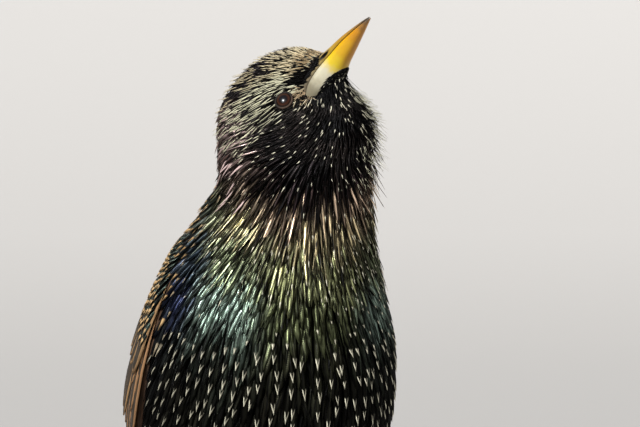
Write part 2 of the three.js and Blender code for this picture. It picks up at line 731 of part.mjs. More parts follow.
// Each piece as a mesh, with what is left of it in one closed surface once close corners are one.
// The model stands on its origin, the middle of the underside of the box that it fills.
function geometryOf(solid) {
  const { vertProperties, triVerts } = solid.getMesh();
  return new THREE.BufferGeometry()
    .setAttribute("position", new THREE.BufferAttribute(new Float32Array(vertProperties), 3))
    .setIndex(new THREE.BufferAttribute(new Uint32Array(triVerts), 1));
}
const extent = new THREE.Box3();
for (const { solid } of pieces) {
  const geometry = geometryOf(solid);
  geometry.computeBoundingBox();
  extent.union(geometry.boundingBox);
}
const middle = extent.getCenter(point(0, 0, 0));
const starling = new THREE.Group();
for (const { name, solid, look } of pieces) {
  const placed = geometryOf(solid).translate(-middle.x, -middle.y, -extent.min.z);
  const merged = mergeVertices(placed, SAME_PLACE);
  const whole = new wasm.Manifold(
    new wasm.Mesh({
      numProp: 3,
      vertProperties: merged.getAttribute("position").array,
      triVerts: merged.index.array,
    }),
  );
  const [largest] = whole.decompose().sort((a, b) => b.volume() - a.volume());
  const { colour, roughness, metalness = 0 } = look;
  const material = new THREE.MeshStandardMaterial({ color: colour, roughness, metalness });
  const mesh = new THREE.Mesh(geometryOf(largest), material);
  mesh.name = name;
  starling.add(mesh);
}

export default starling;
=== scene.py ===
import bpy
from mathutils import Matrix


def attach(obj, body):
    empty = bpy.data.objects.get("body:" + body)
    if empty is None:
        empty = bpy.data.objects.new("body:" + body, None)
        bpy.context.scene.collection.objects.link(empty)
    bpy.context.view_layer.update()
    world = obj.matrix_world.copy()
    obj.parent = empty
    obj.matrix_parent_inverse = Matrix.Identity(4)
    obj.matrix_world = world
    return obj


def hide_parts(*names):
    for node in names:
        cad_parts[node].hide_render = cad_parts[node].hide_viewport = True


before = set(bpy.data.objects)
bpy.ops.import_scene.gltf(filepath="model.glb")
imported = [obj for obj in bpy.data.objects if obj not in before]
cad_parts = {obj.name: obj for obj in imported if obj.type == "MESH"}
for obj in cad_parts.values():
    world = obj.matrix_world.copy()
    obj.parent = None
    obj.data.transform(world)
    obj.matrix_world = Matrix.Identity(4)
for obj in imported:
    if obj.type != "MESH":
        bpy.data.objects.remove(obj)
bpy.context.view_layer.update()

# The camera stands far off at the bird's front and a little to its right, level with its breast,
# with a long lens, so the picture is almost without perspective.
import bpy
import math
from mathutils import Vector

PICTURE_MIDDLE = Vector((0.00874, -0.0479, 0.1375))
PICTURE_WIDTH = 0.1792
LENS = 400.0
SENSOR = 36.0
CAMERA_TURN = math.radians(-18)
camera_data = bpy.data.cameras.new("camera")
camera_data.lens = LENS
camera_data.sensor_width = SENSOR
camera_data.clip_start = 0.1
camera_data.clip_end = 40.0
camera = bpy.data.objects.new("camera", camera_data)
bpy.context.scene.collection.objects.link(camera)
camera_distance = PICTURE_WIDTH * LENS / SENSOR
camera_way = Vector((math.sin(CAMERA_TURN), -math.cos(CAMERA_TURN), 0))
camera.location = PICTURE_MIDDLE + camera_way * camera_distance
camera.rotation_euler = (math.radians(90), 0, CAMERA_TURN)
bpy.context.scene.camera = camera

# The bird's skin under its plumage: head, neck, trunk and tail as one long form through stations,
# in millimetres, from the bill's base to the tail's tip. Feathers are rooted in it and follow it.
import numpy as np

HEAD_TURN = 13
HEAD_RAISE = 37
HEAD_TILT = 19
EYE_LEVEL = np.array([5.7, -27.0, 169.8])
CENTRE = np.array([-0.008, 24.037, 0.0])
FULLNESS = 2.25
# Forward, up and right of the back line, the same of the belly line, half width and sweep.
HEAD_STATIONS = [
    (12.8, 5.2, 0, 17.6, -3.6, 0, 5.6, 8.6),
    (10.5, 8.8, 0, 13.9, -5.4, 0, 6.8, 7.6),
    (6.5, 13.2, 0, 11.6, -8.8, 0.3, 8.5, 6.4),
    (1.0, 17.2, 0, 10.3, -12.8, 1, 10.4, 5.2),
    (-5.6, 19.9, 0, 8.2, -16.4, 2.4, 13.4, 4.0),
    (-13.4, 20.8, 0, 4.8, -19.6, 5, 18.8, 2.0),
]
# Back line, belly line, half width, and how much the section turns with the cocked head.
BODY_STATIONS = [
    (-4.6, -2.0, 170.3, 7.0, -43.5, 150.0, 20.4, 0.65),
    (-0.5, 1.8, 161.8, 5.2, -42.5, 142.5, 20.8, 0.3),
    (2.6, 4.5, 151.5, 3.6, -41.2, 133.5, 21.4, 0.1),
    (1.6, 9.0, 141.0, 1.6, -41.8, 122.0, 24.2, 0),
    (0.0, 15.0, 131.0, 0.0, -43.2, 107.0, 29.3, 0),
    (0.0, 22.0, 120.5, 0.0, -41.8, 89.0, 33.5, 0),
    (0.0, 30.0, 109.0, 0.0, -34.0, 69.5, 35.4, 0),
    (0.0, 38.0, 97.0, 0.0, -19.0, 53.5, 34.2, 0),
    (0.0, 45.5, 85.0, 0.0, 2.0, 44.5, 29.5, 0),
    (0.0, 52.0, 74.5, 0.0, 24.0, 42.5, 22.0, 0),
    (0.0, 58.0, 66.0, 0.0, 43.0, 45.0, 14.0, 0),
    (0.0, 63.0, 59.5, 0.0, 57.0, 48.5, 9.0, 0),
    (0.0, 70.0, 53.2, 0.0, 66.0, 46.6, 9.6, 0),
    (0.0, 77.2, 46.4, 0.0, 74.5, 41.4, 10.4, 0),
    (0.0, 84.5, 39.4, 0.0, 82.4, 35.6, 11.2, 0),
    (0.0, 91.8, 32.4, 0.0, 90.2, 29.4, 12.0, 0),
    (0.0, 99.0, 25.6, 0.0, 97.8, 23.2, 12.6, 0),
    (0.0, 105.6, 19.2, 0.0, 104.8, 17.6, 12.4, 0),
]
NECK_START = 4.8
TAIL_START = 17.0
# The edge of the face stands back, most of all low on its sides, and so bares the mouth's corners.
GAPE_DROP = 0.6
GAPE_STATIONS = 3.0


def turned(way, about, degrees):
    angle = math.radians(degrees)
    side = np.cross(about, way)
    along = about * np.dot(about, way) * (1 - math.cos(angle))
    return way * math.cos(angle) + side * math.sin(angle) + along


turn, raised = math.radians(HEAD_TURN), math.radians(HEAD_RAISE)
head_forward = np.array(
    [math.cos(raised) * math.sin(turn), -math.cos(raised) * math.cos(turn), math.sin(raised)]
)
head_right = turned(np.array([-math.cos(turn), -math.sin(turn), 0.0]), head_forward, HEAD_TILT)
head_up = np.cross(head_right, head_forward)


def in_head(forward, up, right=0.0):
    forward, up, right = (np.asarray(value, float)[..., None] for value in (forward, up, right))
    return EYE_LEVEL + forward * head_forward + up * head_up + right * head_right


station_rows = []
for row in HEAD_STATIONS:
    lines = [in_head(*row[0:3]), in_head(*row[3:6]), row[6] * head_right, -row[7] * head_forward]
    station_rows.append(np.concatenate(lines))
for row in BODY_STATIONS:
    level = np.array([-1.0, 0.0, 0.0]) * (1 - row[7]) + head_right * row[7]
    wide = row[6] * level / np.linalg.norm(level)
    station_rows.append(np.concatenate([row[0:3], row[3:6], wide, np.zeros(3)]))
station_rows = np.array(station_rows)


def eased(rows, at):
    """Values between rows, on a smooth curve through them all."""
    padded = np.vstack([2 * rows[0] - rows[1], rows, 2 * rows[-1] - rows[-2]])
    at = np.clip(at, 0, len(rows) - 1.0001)
    first = np.floor(at).astype(int)
    share = (at - first)[..., None]
    a, b, c, d = (padded[first + k] for k in range(4))
    leave, arrive = 0.5 * (c - a), 0.5 * (d - b)
    square = 3 * (c - b) - 2 * leave - arrive
    cube = 2 * (b - c) + leave + arrive
    return b + share * (leave + share * (square + share * cube))


def unit(vectors):
    return vectors / np.maximum(np.linalg.norm(vectors, axis=-1, keepdims=True), 1e-9)


def on_body(station, angle, lift=0.0):
    """Points at stations and angles, 0 at the back, 90 at the bird's right, some mm outside it."""
    station, angle, lift = np.broadcast_arrays(station, angle, lift)
    row = eased(station_rows, station)
    back, belly, wide, sweep = (row[..., 3 * k:3 * k + 3] for k in range(4))
    centre = (back + belly) / 2
    high = back - centre
    high = high + unit(high) * lift[..., None]
    wide = wide + unit(wide) * lift[..., None]
    cosine, sine = np.cos(np.radians(angle)), np.sin(np.radians(angle))
    upwards = np.sign(cosine) * np.abs(cosine) ** (2 / FULLNESS)
    sideways = np.sign(sine) * np.abs(sine) ** (2 / FULLNESS)
    drop = GAPE_DROP * np.maximum(0, 1 - station / GAPE_STATIONS)
    swept = sweep * ((sine * (1 - drop * cosine)) ** 2)[..., None]
    return centre + high * upwards[..., None] + wide * sideways[..., None] + swept


def placed(points):
    """Millimetres in the bird's own frame as metres in the row frame."""
    return (points - CENTRE) * 0.001


def tube_faces(rings, around, closed_ends=True):
    """The faces of a tube of rings, whose ends are closed by one face each."""
    faces = []
    for ring in range(rings - 1):
        for k in range(around):
            a, b = ring * around + k, ring * around + (k + 1) % around
            faces.append((a, b, b + around, a + around))
    if closed_ends:
        faces.append(tuple(range(around))[::-1])
        faces.append(tuple(range((rings - 1) * around, rings * around)))
    return faces


def face_outwards(piece):
    """Turns a closed piece right side out, as the editor's own command does."""
    bpy.ops.object.select_all(action="DESELECT")
    bpy.context.view_layer.objects.active = piece
    piece.select_set(True)
    bpy.ops.object.mode_set(mode="EDIT")
    bpy.ops.mesh.select_all(action="SELECT")
    bpy.ops.mesh.normals_make_consistent(inside=False)
    bpy.ops.object.mode_set(mode="OBJECT")
    bpy.ops.object.select_all(action="DESELECT")


def linked(name, mesh):
    """A smooth object of a mesh, in the scene."""
    mesh.shade_smooth()
    piece = bpy.data.objects.new(name, mesh)
    bpy.context.scene.collection.objects.link(piece)
    return piece


def new_object(name, points, faces):
    """A closed piece from points in millimetres and faces, its faces turned outwards."""
    mesh = bpy.data.meshes.new(name)
    mesh.from_pydata(placed(np.asarray(points, float)).tolist(), [], [tuple(f) for f in faces])
    mesh.update()
    piece = linked(name, mesh)
    face_outwards(piece)
    return piece


def finish_piece(piece, material, nodes=()):
    """Gives a piece its material, hangs it on the root body, and hides the solids it stands for."""
    piece.data.materials.clear()
    piece.data.materials.append(material)
    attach(piece, "root")
    if nodes:
        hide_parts(*nodes)


SKIN_DEPTH = 1.9
SKIN_AROUND = 72
SKIN_START, SKIN_END = 0.02, 18.4
skin_at = np.concatenate([
    np.linspace(SKIN_START, NECK_START, 40), np.linspace(NECK_START, SKIN_END, 90)[1:]])
skin_angles = np.arange(SKIN_AROUND) * 360 / SKIN_AROUND
skin_points = on_body(skin_at[:, None], skin_angles[None, :], -SKIN_DEPTH)

# The plumage's own finish, shared by the skin and by every small feather: black barbs with a metal
# gloss that changes over the body, fine streaks along each vane, and pale marks at the tips.
# Each place has its station, its degrees from the belly's middle on either side, and its gloss.
ANCHORS = [
    (0.8, 30, (0.010, 0.010, 0.011)),
    (1.5, 95, (0.02, 0.018, 0.015)),
    (2.0, 150, (0.02, 0.018, 0.016)),
    (3.5, 25, (0.008, 0.008, 0.009)),
    (3.8, 95, (0.025, 0.024, 0.022)),
    (4.2, 150, (0.03, 0.024, 0.03)),
    (5.2, 45, (0.008, 0.007, 0.008)),
    (5.6, 20, (0.008, 0.007, 0.008)),
    (4.8, 68, (0.02, 0.017, 0.018)),
    # Partly the plumage's own gloss, partly painted highlight: the near-white gloss on the neck's sides,
    # set where the light catches it most.
    (5.7, 88, (0.80, 0.60, 0.56)),
    (6.2, 102, (0.90, 0.67, 0.62)),
    (6.4, 84, (1.0, 0.74, 0.68)),
    (6.2, 30, (0.014, 0.010, 0.012)),
    (6.6, 50, (0.05, 0.032, 0.035)),
    (6.5, 18, (0.045, 0.028, 0.032)),
    (7.0, 150, (0.10, 0.10, 0.08)),
    (7.0, 66, (0.78, 0.60, 0.44)),
    (7.2, 25, (0.62, 0.45, 0.32)),
    (7.9, 10, (0.44, 0.36, 0.20)),
    (8.0, 60, (0.56, 0.50, 0.28)),
    (8.2, 90, (0.12, 0.13, 0.07)),
    (8.4, 108, (0.04, 0.05, 0.045)),
    (9.1, 55, (0.36, 0.42, 0.24)),
    (9.2, 15, (0.20, 0.21, 0.10)),
    (9.5, 84, (0.028, 0.042, 0.058)),
    # Partly the plumage's own gloss, partly painted highlight: the pale mint gloss on the breast, set
    # where the light catches it most.
    (10.2, 48, (0.56, 0.76, 0.63)),
    (10.1, 12, (0.11, 0.125, 0.06)),
    (10.4, 85, (0.017, 0.021, 0.046)),
    (10.85, 48, (0.012, 0.012, 0.008)),
    (10.8, 12, (0.022, 0.022, 0.013)),
    (11.4, 20, (0.014, 0.013, 0.009)),
    (11.8, 95, (0.012, 0.013, 0.015)),
    (11.6, 66, (0.012, 0.011, 0.008)),
    (12.4, 42, (0.014, 0.012, 0.008)),
    (12.8, 78, (0.014, 0.013, 0.010)),
    (14.0, 30, (0.022, 0.022, 0.018)),
    (10.5, 160, (0.08, 0.15, 0.08)),
    (14.0, 160, (0.06, 0.13, 0.10)),
    (17.0, 120, (0.06, 0.06, 0.05)),
]
GLOSS_REACH = (0.75, 24)


def side_of(angle):
    """Degrees from the middle of the belly, on either side."""
    return np.abs(np.asarray(angle) % 360 - 180)


def between(low, high, value):
    """How far a value has come on its way from low to high, 0 to 1. Low may be the greater."""
    return np.clip((value - low) / (high - low), 0, 1)


def gloss_at(station, angle):
    """The gloss, smooth between the places, and dulled by painted shade on the bird's left breast, the
    side away from the key light.
    """
    places = np.array([place[:2] for place in ANCHORS])
    along = (station[:, None] - places[:, 0]) / GLOSS_REACH[0]
    across = (side_of(angle)[:, None] - places[:, 1]) / GLOSS_REACH[1]
    weight = 1 / (along ** 2 + across ** 2 + 0.08) ** 2
    gloss = (weight @ np.array([place[2] for place in ANCHORS])) / weight.sum(1, keepdims=True)
    # Painted shade: the gloss on the bird's left breast is cut by up to two thirds, as that side lies
    # away from the light.
    painted_shade_left = between(185, 215, np.asarray(angle) % 360) * between(7.6, 8.4, station)
    return gloss * (1 - 0.65 * painted_shade_left)[:, None]


def fill(socket, value):
    """Joins a socket to the node that a value comes from, or sets it to a plain value."""
    if isinstance(value, Value):
        socket.id_data.links.new(value.socket, socket)
    else:
        socket.default_value = value


def feed(node, **settings):
    """Fills a node's inputs and makes its choices, by their names."""
    for name, value in settings.items():
        label = name.replace("_", " ")
        if label in node.inputs:
            fill(node.inputs[label], value)
        else:
            setattr(node, name, value)


def add_node(tree, kind, output=0, **settings):
    """What a new node gives out, once it is fed."""
    node = tree.nodes.new("ShaderNode" + kind)
    feed(node, **settings)
    return Value(node.outputs[output])


def worked(operation, *values):
    """A sum of values, of which one at least comes from a node."""
    tree = next(value.tree for value in values if isinstance(value, Value))
    node = tree.nodes.new("ShaderNodeMath")
    node.operation = operation
    for socket, value in zip(node.inputs, values):
        fill(socket, value)
    return Value(node.outputs[0])


class Value:
    """What a node gives out. A sum with it adds the node that works the sum out."""

    def __init__(self, socket):
        self.socket = socket
        self.tree = socket.id_data

    def other(self, output):
        return Value(self.socket.node.outputs[output])

    def parts(self):
        x = add_node(self.tree, "SeparateXYZ", "X", Vector=self)
        return x, x.other("Y"), x.other("Z")

    def __add__(self, value):
        return worked("ADD", self, value)

    def __sub__(self, value):
        return worked("SUBTRACT", self, value)

    def __rsub__(self, value):
        return worked("SUBTRACT", value, self)

    def __mul__(self, value):
        return worked("MULTIPLY", self, value)

    def __rtruediv__(self, value):
        return worked("DIVIDE", value, self)

    def __abs__(self):
        return worked("ABSOLUTE", self)

    def ramp(self, low, high, to_low=0.0, to_high=1.0):
        """Eased from one value to another while this one goes from low to high."""
        return add_node(self.tree, "MapRange", "Result", interpolation_type="SMOOTHSTEP", Value=self,
                        From_Min=low, From_Max=high, To_Min=to_low, To_Max=to_high)

    def mix(self, first, second):
        """The second colour over the first, by this share."""
        node = self.tree.nodes.new("ShaderNodeMix")
        node.data_type = "RGBA"
        for socket, value in ((0, self), (6, first), (7, second)):
            fill(node.inputs[socket], value)
        return Value(node.outputs[2])


def attribute(tree, name, output="Fac"):
    return add_node(tree, "Attribute", output, attribute_name=name)


def bump(height, strength, distance):
    return add_node(height.tree, "Bump", "Normal", Strength=strength, Distance=distance, Height=height)


def new_material(name):
    """A material and its tree, which is still empty."""
    material = bpy.data.materials.new(name)
    material.use_nodes = True
    material.node_tree.nodes.clear()
    return material, material.node_tree


def shade(tree, **settings):
    """Ends a material's tree with its shader."""
    feed(tree.nodes.new("ShaderNodeOutputMaterial"),
         Surface=add_node(tree, "BsdfPrincipled", "BSDF", **settings))


def new_group(name, inputs, outputs):
    """A node group, what its named inputs give it, and the node that gives its named outputs."""
    group = bpy.data.node_groups.new(name, "ShaderNodeTree")
    for label, kind, *value in inputs:
        socket = group.interface.new_socket(label, in_out="INPUT", socket_type="NodeSocket" + kind)
        if value:
            socket.default_value = value[0]
    for label, kind in outputs:
        group.interface.new_socket(label, in_out="OUTPUT", socket_type="NodeSocket" + kind)
    given = {socket.name: Value(socket) for socket in group.nodes.new("NodeGroupInput").outputs}
    return group, given, group.nodes.new("NodeGroupOutput")


# One vane: u runs across it and v from its root to its tip. The mark gives where the pale tip
# begins, how hollow it is, so that a hollow one is a V, and how wide a plain one is.
V_STROKE = 0.05
BARE = (0.006, 0.006, 0.006, 1)
FULL_TURN = 6.283
VANE_INPUTS = [("Vane", "Vector"), ("Gloss", "Color"), ("Tip", "Color"), ("Mark", "Vector"),
               ("Seed", "Float", 0.0)]
VANE_OUTPUTS = [("Color", "Color"), ("Metallic", "Float"), ("Roughness", "Float"), ("Height", "Float")]
barbs, given, leave = new_group(
    "barbs", VANE_INPUTS + [("Streaks", "Float", 6.0), ("Gaps", "Float", 0.44)], VANE_OUTPUTS)
u, v, _ = given["Vane"].parts()
begins, hollow, half_width = given["Mark"].parts()
off_middle = abs(u - 0.5)
streak = add_node(barbs, "TexNoise", "Fac", Scale=1.0, Detail=3.0, Vector=add_node(
    barbs, "CombineXYZ", X=u * given["Streaks"], Y=v * 1.6, Z=given["Seed"] * 60.0))
barb_wave = worked("SINE", (v * 26.0 + off_middle * -9.0) * FULL_TURN)
tip_part = (v - begins + (streak - 0.5) * 0.10).ramp(0.0, 0.05)
to_tip = worked("MAXIMUM", 1.0 - v, 0.01)
margin = (off_middle - (0.5 - V_STROKE / to_tip)).ramp(-0.02, 0.03)
narrow_part = (half_width - off_middle).ramp(0.0, 0.08)
marked = tip_part * (hollow * margin + (1.0 - hollow)) * narrow_part
streaked = (streak - given["Gaps"]).ramp(0.0, 0.18).mix(BARE, given["Gloss"])
feed(leave, Color=marked.mix(streaked, given["Tip"]), Metallic=marked.ramp(0.0, 1.0, 0.85, 0.0),
     Roughness=marked.ramp(0.0, 1.0, 0.33, 0.6), Height=barb_wave * 0.25 + streak)


def vane_finish(name, group, strength, values, **shine):
    """A material for vanes, which a group works out from each vane's own map and attributes."""
    material, tree = new_material(name)
    colour = add_node(
        tree, "Group", "Color", node_tree=group, Vane=add_node(tree, "UVMap", "UV", uv_map="Vane"),
        Gloss=attribute(tree, "gloss", "Color"), Tip=attribute(tree, "tip", "Color"),
        Mark=attribute(tree, "mark", "Vector"), Seed=attribute(tree, "seed"), **values)
    shade(tree, Base_Color=colour, Metallic=colour.other("Metallic"),
          Roughness=colour.other("Roughness"), Normal=bump(colour.other("Height"), strength, 0.0002),
          **shine)
    return material


plumage, hackles, glossy = (
    vane_finish(name, barbs, strength, dict(Streaks=streaks, Gaps=gaps),
                Specular_IOR_Level=0.25, Specular_Tint=(0.4, 0.38, 0.38, 1))
    for name, strength, streaks, gaps in (("plumage", 0.5, 6.0, 0.44), ("long_plumage", 0.35, 2.2, 0.40),
                                          ("glossy_plumage", 0.5, 7.0, 0.36)))


def set_attribute(mesh, name, values):
    """Writes a number, a way or a colour for every point."""
    values = np.ascontiguousarray(values, np.float32)
    kind, field = {1: ("FLOAT", "value"), 3: ("FLOAT_VECTOR", "vector"), 4: ("FLOAT_COLOR", "color")}[
        values.size // len(mesh.vertices)]
    mesh.attributes.new(name, kind, "POINT").data.foreach_set(field, values.ravel())


def dress(mesh, gloss, tip, mark, seed=0.0, each=1):
    """Gives each feather, of so many points, its gloss, its mark's colour and place, and its seed."""
    count = len(mesh.vertices) // each
    for name, value in (("gloss", gloss), ("tip", tip)):
        opaque = np.hstack([np.broadcast_to(value, (count, 3)), np.ones((count, 1))])
        set_attribute(mesh, name, np.repeat(opaque, each, 0))
    set_attribute(mesh, "mark", np.repeat(np.broadcast_to(mark, (count, 3)), each, 0))
    set_attribute(mesh, "seed", np.repeat(np.broadcast_to(seed, count), each))


def set_uv(mesh, name, per_point):
    layer = mesh.uv_layers.new(name=name)
    corners = np.empty(len(mesh.loops), np.int32)
    mesh.loops.foreach_get("vertex_index", corners)
    layer.data.foreach_set("uv", np.ascontiguousarray(per_point[corners], np.float32).ravel())


def bake_place(station, angle):
    """Where a place on the body lies in the map that its looks are baked on."""
    return np.stack([angle % 360 / 360 * 0.98 + 0.01, station / 23 * 0.98 + 0.01], 1)


SKIN_TIP = (0.3, 0.28, 0.22)
NO_MARK = (9.0, 0, 0)
skin = new_object("skin", skin_points.reshape(-1, 3), tube_faces(len(skin_at), SKIN_AROUND))
skin_station = np.repeat(skin_at, SKIN_AROUND)
skin_angle = np.tile(skin_angles, len(skin_at))
dress(skin.data, gloss_at(skin_station, skin_angle) * 0.3, SKIN_TIP, NO_MARK)
set_uv(skin.data, "Vane", np.stack([skin_angle / 10, skin_station / 2], 1))
set_uv(skin.data, "OFBake", bake_place(skin_station, skin_angle))
finish_piece(skin, plumage, ["head", "neck", "torso"])

# Small feathers: each is a thin closed vane, rooted in the skin and lying along it, its tip over
# the roots of the next ones. Their roots stand in columns that run from the bill to the tail.
chance = np.random.default_rng(11)
STEP = 0.02


def pace(surface, first, second):
    """Millimetres for each step along and across a surface, the two ways, and the way out."""
    here = surface(first, second, 0.0)
    along = (surface(first + STEP, second, 0.0) - surface(first - STEP, second, 0.0)) / (2 * STEP)
    across = (surface(first, second + STEP, 0.0) - surface(first, second - STEP, 0.0)) / (2 * STEP)
    out = unit(np.cross(along, across))
    outer = surface(first, second, 1.0) - here
    out = out * np.sign((out * outer).sum(-1, keepdims=True) + 1e-12)
    return np.linalg.norm(along, axis=-1), np.linalg.norm(across, axis=-1), unit(along), out


def roots(first, last, start, end, count, stretch, surface=on_body):
    """Feathers' places in columns, how far apart the columns stand there in mm, and their number."""
    at = np.linspace(first, last, 200)
    column_step = (end - start) / count
    found = []
    for column in range(count):
        angle = start + column_step * (column + 0.5)
        along, across, _, _ = pace(surface, at, np.full_like(at, angle))
        size = across * abs(column_step)
        rank = np.concatenate([[0], np.cumsum(np.diff(at) * (along / (stretch * size))[1:])])
        wanted = np.arange(0.5 * (column % 2) + chance.uniform(0, 0.35), rank[-1], 1.0)
        where = np.interp(wanted, rank, at)
        shake = chance.uniform(-0.2, 0.2, len(where)) * np.interp(where, at, stretch * size / along)
        astray = column_step * chance.uniform(-0.3, 0.3, len(where))
        found.append(np.stack([where + shake, angle + astray, np.interp(where, at, size)], 1))
    found = np.concatenate(found)
    return *found.T, len(found)


# A feather's outline: shares of its length, and how wide it is there beside its full width.
LEAF = ((0, 0.45), (0.3, 0.95), (0.6, 1.0), (0.85, 0.72), (1, 0.14))
LANCE = ((0, 0.6), (0.3, 1.0), (0.6, 0.8), (0.85, 0.45), (1, 0.08))
POINT = ((0, 0.5), (0.3, 1.0), (0.58, 0.94), (0.79, 0.62), (1, 0.06))
STRAND = ((0, 0.7), (0.4, 1.0), (0.75, 0.7), (1, 0.1))
UNMARKED = (3.0, 0.0, 0.5)
BAKE_PATCH = 0.003


def vane_mesh(name, corners):
    """One mesh of closed vanes, each given as rings of corners from its root to its tip."""
    count, steps, sides, _ = corners.shape
    ring = np.arange(steps * sides).reshape(steps, sides)
    walls = [(ring[k, j], ring[k + 1, j], ring[k + 1, (j + 1) % sides], ring[k, (j + 1) % sides])
             for k in range(steps - 1) for j in range(sides)]
    ends = [tuple(ring[0]), tuple(ring[-1][::-1])]
    order = np.concatenate([np.ravel(walls), np.ravel(ends)])
    sizes = np.array([4] * len(walls) + [sides] * 2)
    all_loops = (order[None] + (np.arange(count) * ring.size)[:, None]).ravel()
    starts = np.concatenate([[0], np.cumsum(np.tile(sizes, count))[:-1]])
    mesh = bpy.data.meshes.new(name)
    mesh.vertices.add(count * ring.size)
    mesh.vertices.foreach_set("co", placed(corners).astype(np.float32).ravel())
    mesh.loops.add(len(all_loops))
    mesh.loops.foreach_set("vertex_index", all_loops.astype(np.int32))
    mesh.polygons.add(len(starts))
    mesh.polygons.foreach_set("loop_start", starts.astype(np.int32))
    mesh.update(calc_edges=True)
    mesh.validate()
    return mesh


def feathers(name, finish, surface, first, second, length, width, lift, gloss, tip, mark=UNMARKED,
             outline=LEAF, drift=0.0, thick=0.12, camber=0.10, bake=None, sides=4,
             nodes=()):
    """Thin closed vanes as one finished piece. Lift is that of the root, the middle and the tip."""
    count, steps = len(first), len(outline)
    share, wide = np.array(outline, float).T
    length, width, drift = (np.broadcast_to(value, count).astype(float)
                            for value in (length, width, drift))
    lift = [np.broadcast_to(value, count).astype(float)[:, None] for value in lift]
    along, across, _, _ = pace(surface, first, second)
    far = length[:, None] * share
    firsts = first[:, None] + far * (np.cos(drift) / along)[:, None]
    seconds = second[:, None] + far * (np.sin(drift) / across)[:, None]
    rising = lift[0] * (1 - share) ** 2 + 2 * lift[1] * share * (1 - share) + lift[2] * share ** 2
    middle = surface(firsts, seconds, rising)
    _, _, lie, out = pace(surface, firsts, seconds)
    sideways = unit(np.cross(out, lie))
    half = (width[:, None] * wide)[..., None] / 2
    thick = thick * np.linspace(1, 0.5, steps)[None, :, None]
    left = middle - sideways * half - out * camber * half
    right = middle + sideways * half - out * camber * half
    corners = [left, middle + out * thick, right, middle - out * thick * 0.5]
    mesh = vane_mesh(name, np.stack(corners[:sides], 2))
    vane_u = np.broadcast_to(np.array([0, 0.5, 1, 0.5])[:sides], (count, steps, sides))
    vane_v = np.broadcast_to(share[None, :, None], (count, steps, sides))
    set_uv(mesh, "Vane", np.stack([vane_u, vane_v], -1).reshape(-1, 2))
    if bake is None:
        bake = bake_place(first, second)
    patch = np.stack([vane_u - 0.5, vane_v - 0.5], -1) * BAKE_PATCH
    set_uv(mesh, "OFBake", (bake[:, None, None, :] + patch).reshape(-1, 2))
    mark = np.stack([np.broadcast_to(value, count) for value in mark], 1)
    dress(mesh, gloss, tip, mark, chance.uniform(0, 1, count), steps * sides)
    finish_piece(linked(name, mesh), finish, nodes)


CREAM = np.array([0.56, 0.54, 0.38])
WHITE = np.array([0.64, 0.61, 0.47])
BUFF = np.array([0.36, 0.235, 0.11])


def varied(colour, count, spread=0.18):
    """A colour for each feather, some lighter and some darker."""
    colour = np.broadcast_to(colour, (count, 3))
    return np.clip(colour * chance.uniform(1 - spread, 1 + spread, (count, 1)), 0, 1)


def shared(*parts):
    """Colours added up, each by its share at every feather."""
    return sum(share[:, None] * colour for share, colour in parts)


def shimmer(colour, first, second, least=0.18, most=2.3, rare=2.4):
    """Feathers as they catch the light: most are dark, some bright, in loose clumps."""
    clumps = np.sin(second / 5.3 + 2 * np.sin(3.1 * first)) * np.sin(second / 8.7 + 2.3 * first + 1)
    bright = least + (most - least) * chance.uniform(0, 1, len(first)) ** rare
    lit = colour * (bright * (1 + 0.45 * clumps))[:, None]
    return lit * np.minimum(1, 0.85 / lit.max(1, keepdims=True))


# Head feathers: a short dark coat with a black stripe from the bill to the eye, and over it fine
# pale streaks, cream on the cheeks, buff on the crown and tan before the eye, few on the throat.
TAN = np.array([0.38, 0.28, 0.17])
EYE_STATION = 2.86
EYE_ANGLE = 91.0
EYE_CLEAR = 3.3


def face_parts(station, angle):
    """The shares of stripe, scruff before the eye, forehead, crown, cheek and throat at a place."""
    away = 180 - side_of(angle)
    ragged = away + chance.normal(0, 2.5, len(away))
    upper_line = 54 + 11 * station
    stripe = (between(2.5, 1.9, station) * between(-3, 3, ragged - upper_line)
              * between(3, -3, ragged - 88 + 5 * station))
    scruff = between(2.3, 1.7, station) * between(86, 92, ragged) * between(124, 112, ragged)
    forehead = between(1.9, 0.9, station) * between(3, -3, ragged - upper_line)
    throat = between(94, 102, ragged - 4 * between(4.0, 5.5, station)) * (1 - scruff)
    crown = between(62, 52, ragged) * (1 - forehead)
    cheek = (1 - throat) * (1 - crown) * (1 - stripe) * (1 - scruff) * (1 - forehead)
    return stripe, scruff, forehead, crown, cheek, throat


FAN_MIDDLE = 160


def fan(angle, amount):
    """Feathers on either side of the throat's parting turn away from it."""
    return amount * np.sin(np.radians(np.clip((angle - FAN_MIDDLE) * 1.5, -180, 180)))


first, second, size, count = roots(0.04, 5.4, 0, 360, 118, 1.45)
stripe, scruff, forehead, crown, cheek, throat = face_parts(first, second)
far_side = throat * between(186, 204, second) * between(262, 242, second) * between(1.2, 3.0, first)
gloss = varied(gloss_at(first, second), count, 0.5) * (1 - 0.7 * stripe)[:, None]
tip = varied(shared((scruff, TAN), (forehead, CREAM * 0.6),
                    (1 - scruff - forehead, (CREAM + BUFF) / 2)), count)
marked = chance.uniform(0, 1, count) < scruff * 0.5 + forehead * 0.25 + crown * 0.12
length = np.clip(size * 4.2, 1.8, 5.0) * chance.uniform(0.85, 1.2, count) * (1 - 0.35 * scruff)
loose = 0.4 + 0.9 * throat + 1.2 * crown + 2.2 * far_side
feathers(
    "head_feathers", plumage, on_body, first, second,
    length * (1 + 0.5 * far_side), np.clip(size * 1.05, 0.4, 0.9),
    (-1.7, -0.6 + 1.4 * far_side, -0.7 + chance.uniform(0, 0.7, count) * loose + 1.6 * far_side),
    gloss, tip, (0.62 + 2.0 * ~marked, 0.0, 0.5), LANCE,
    chance.normal(0, 0.12, count) + 0.8 * scruff * chance.normal(0, 1, count)
    + fan(second, 0.5) * throat)

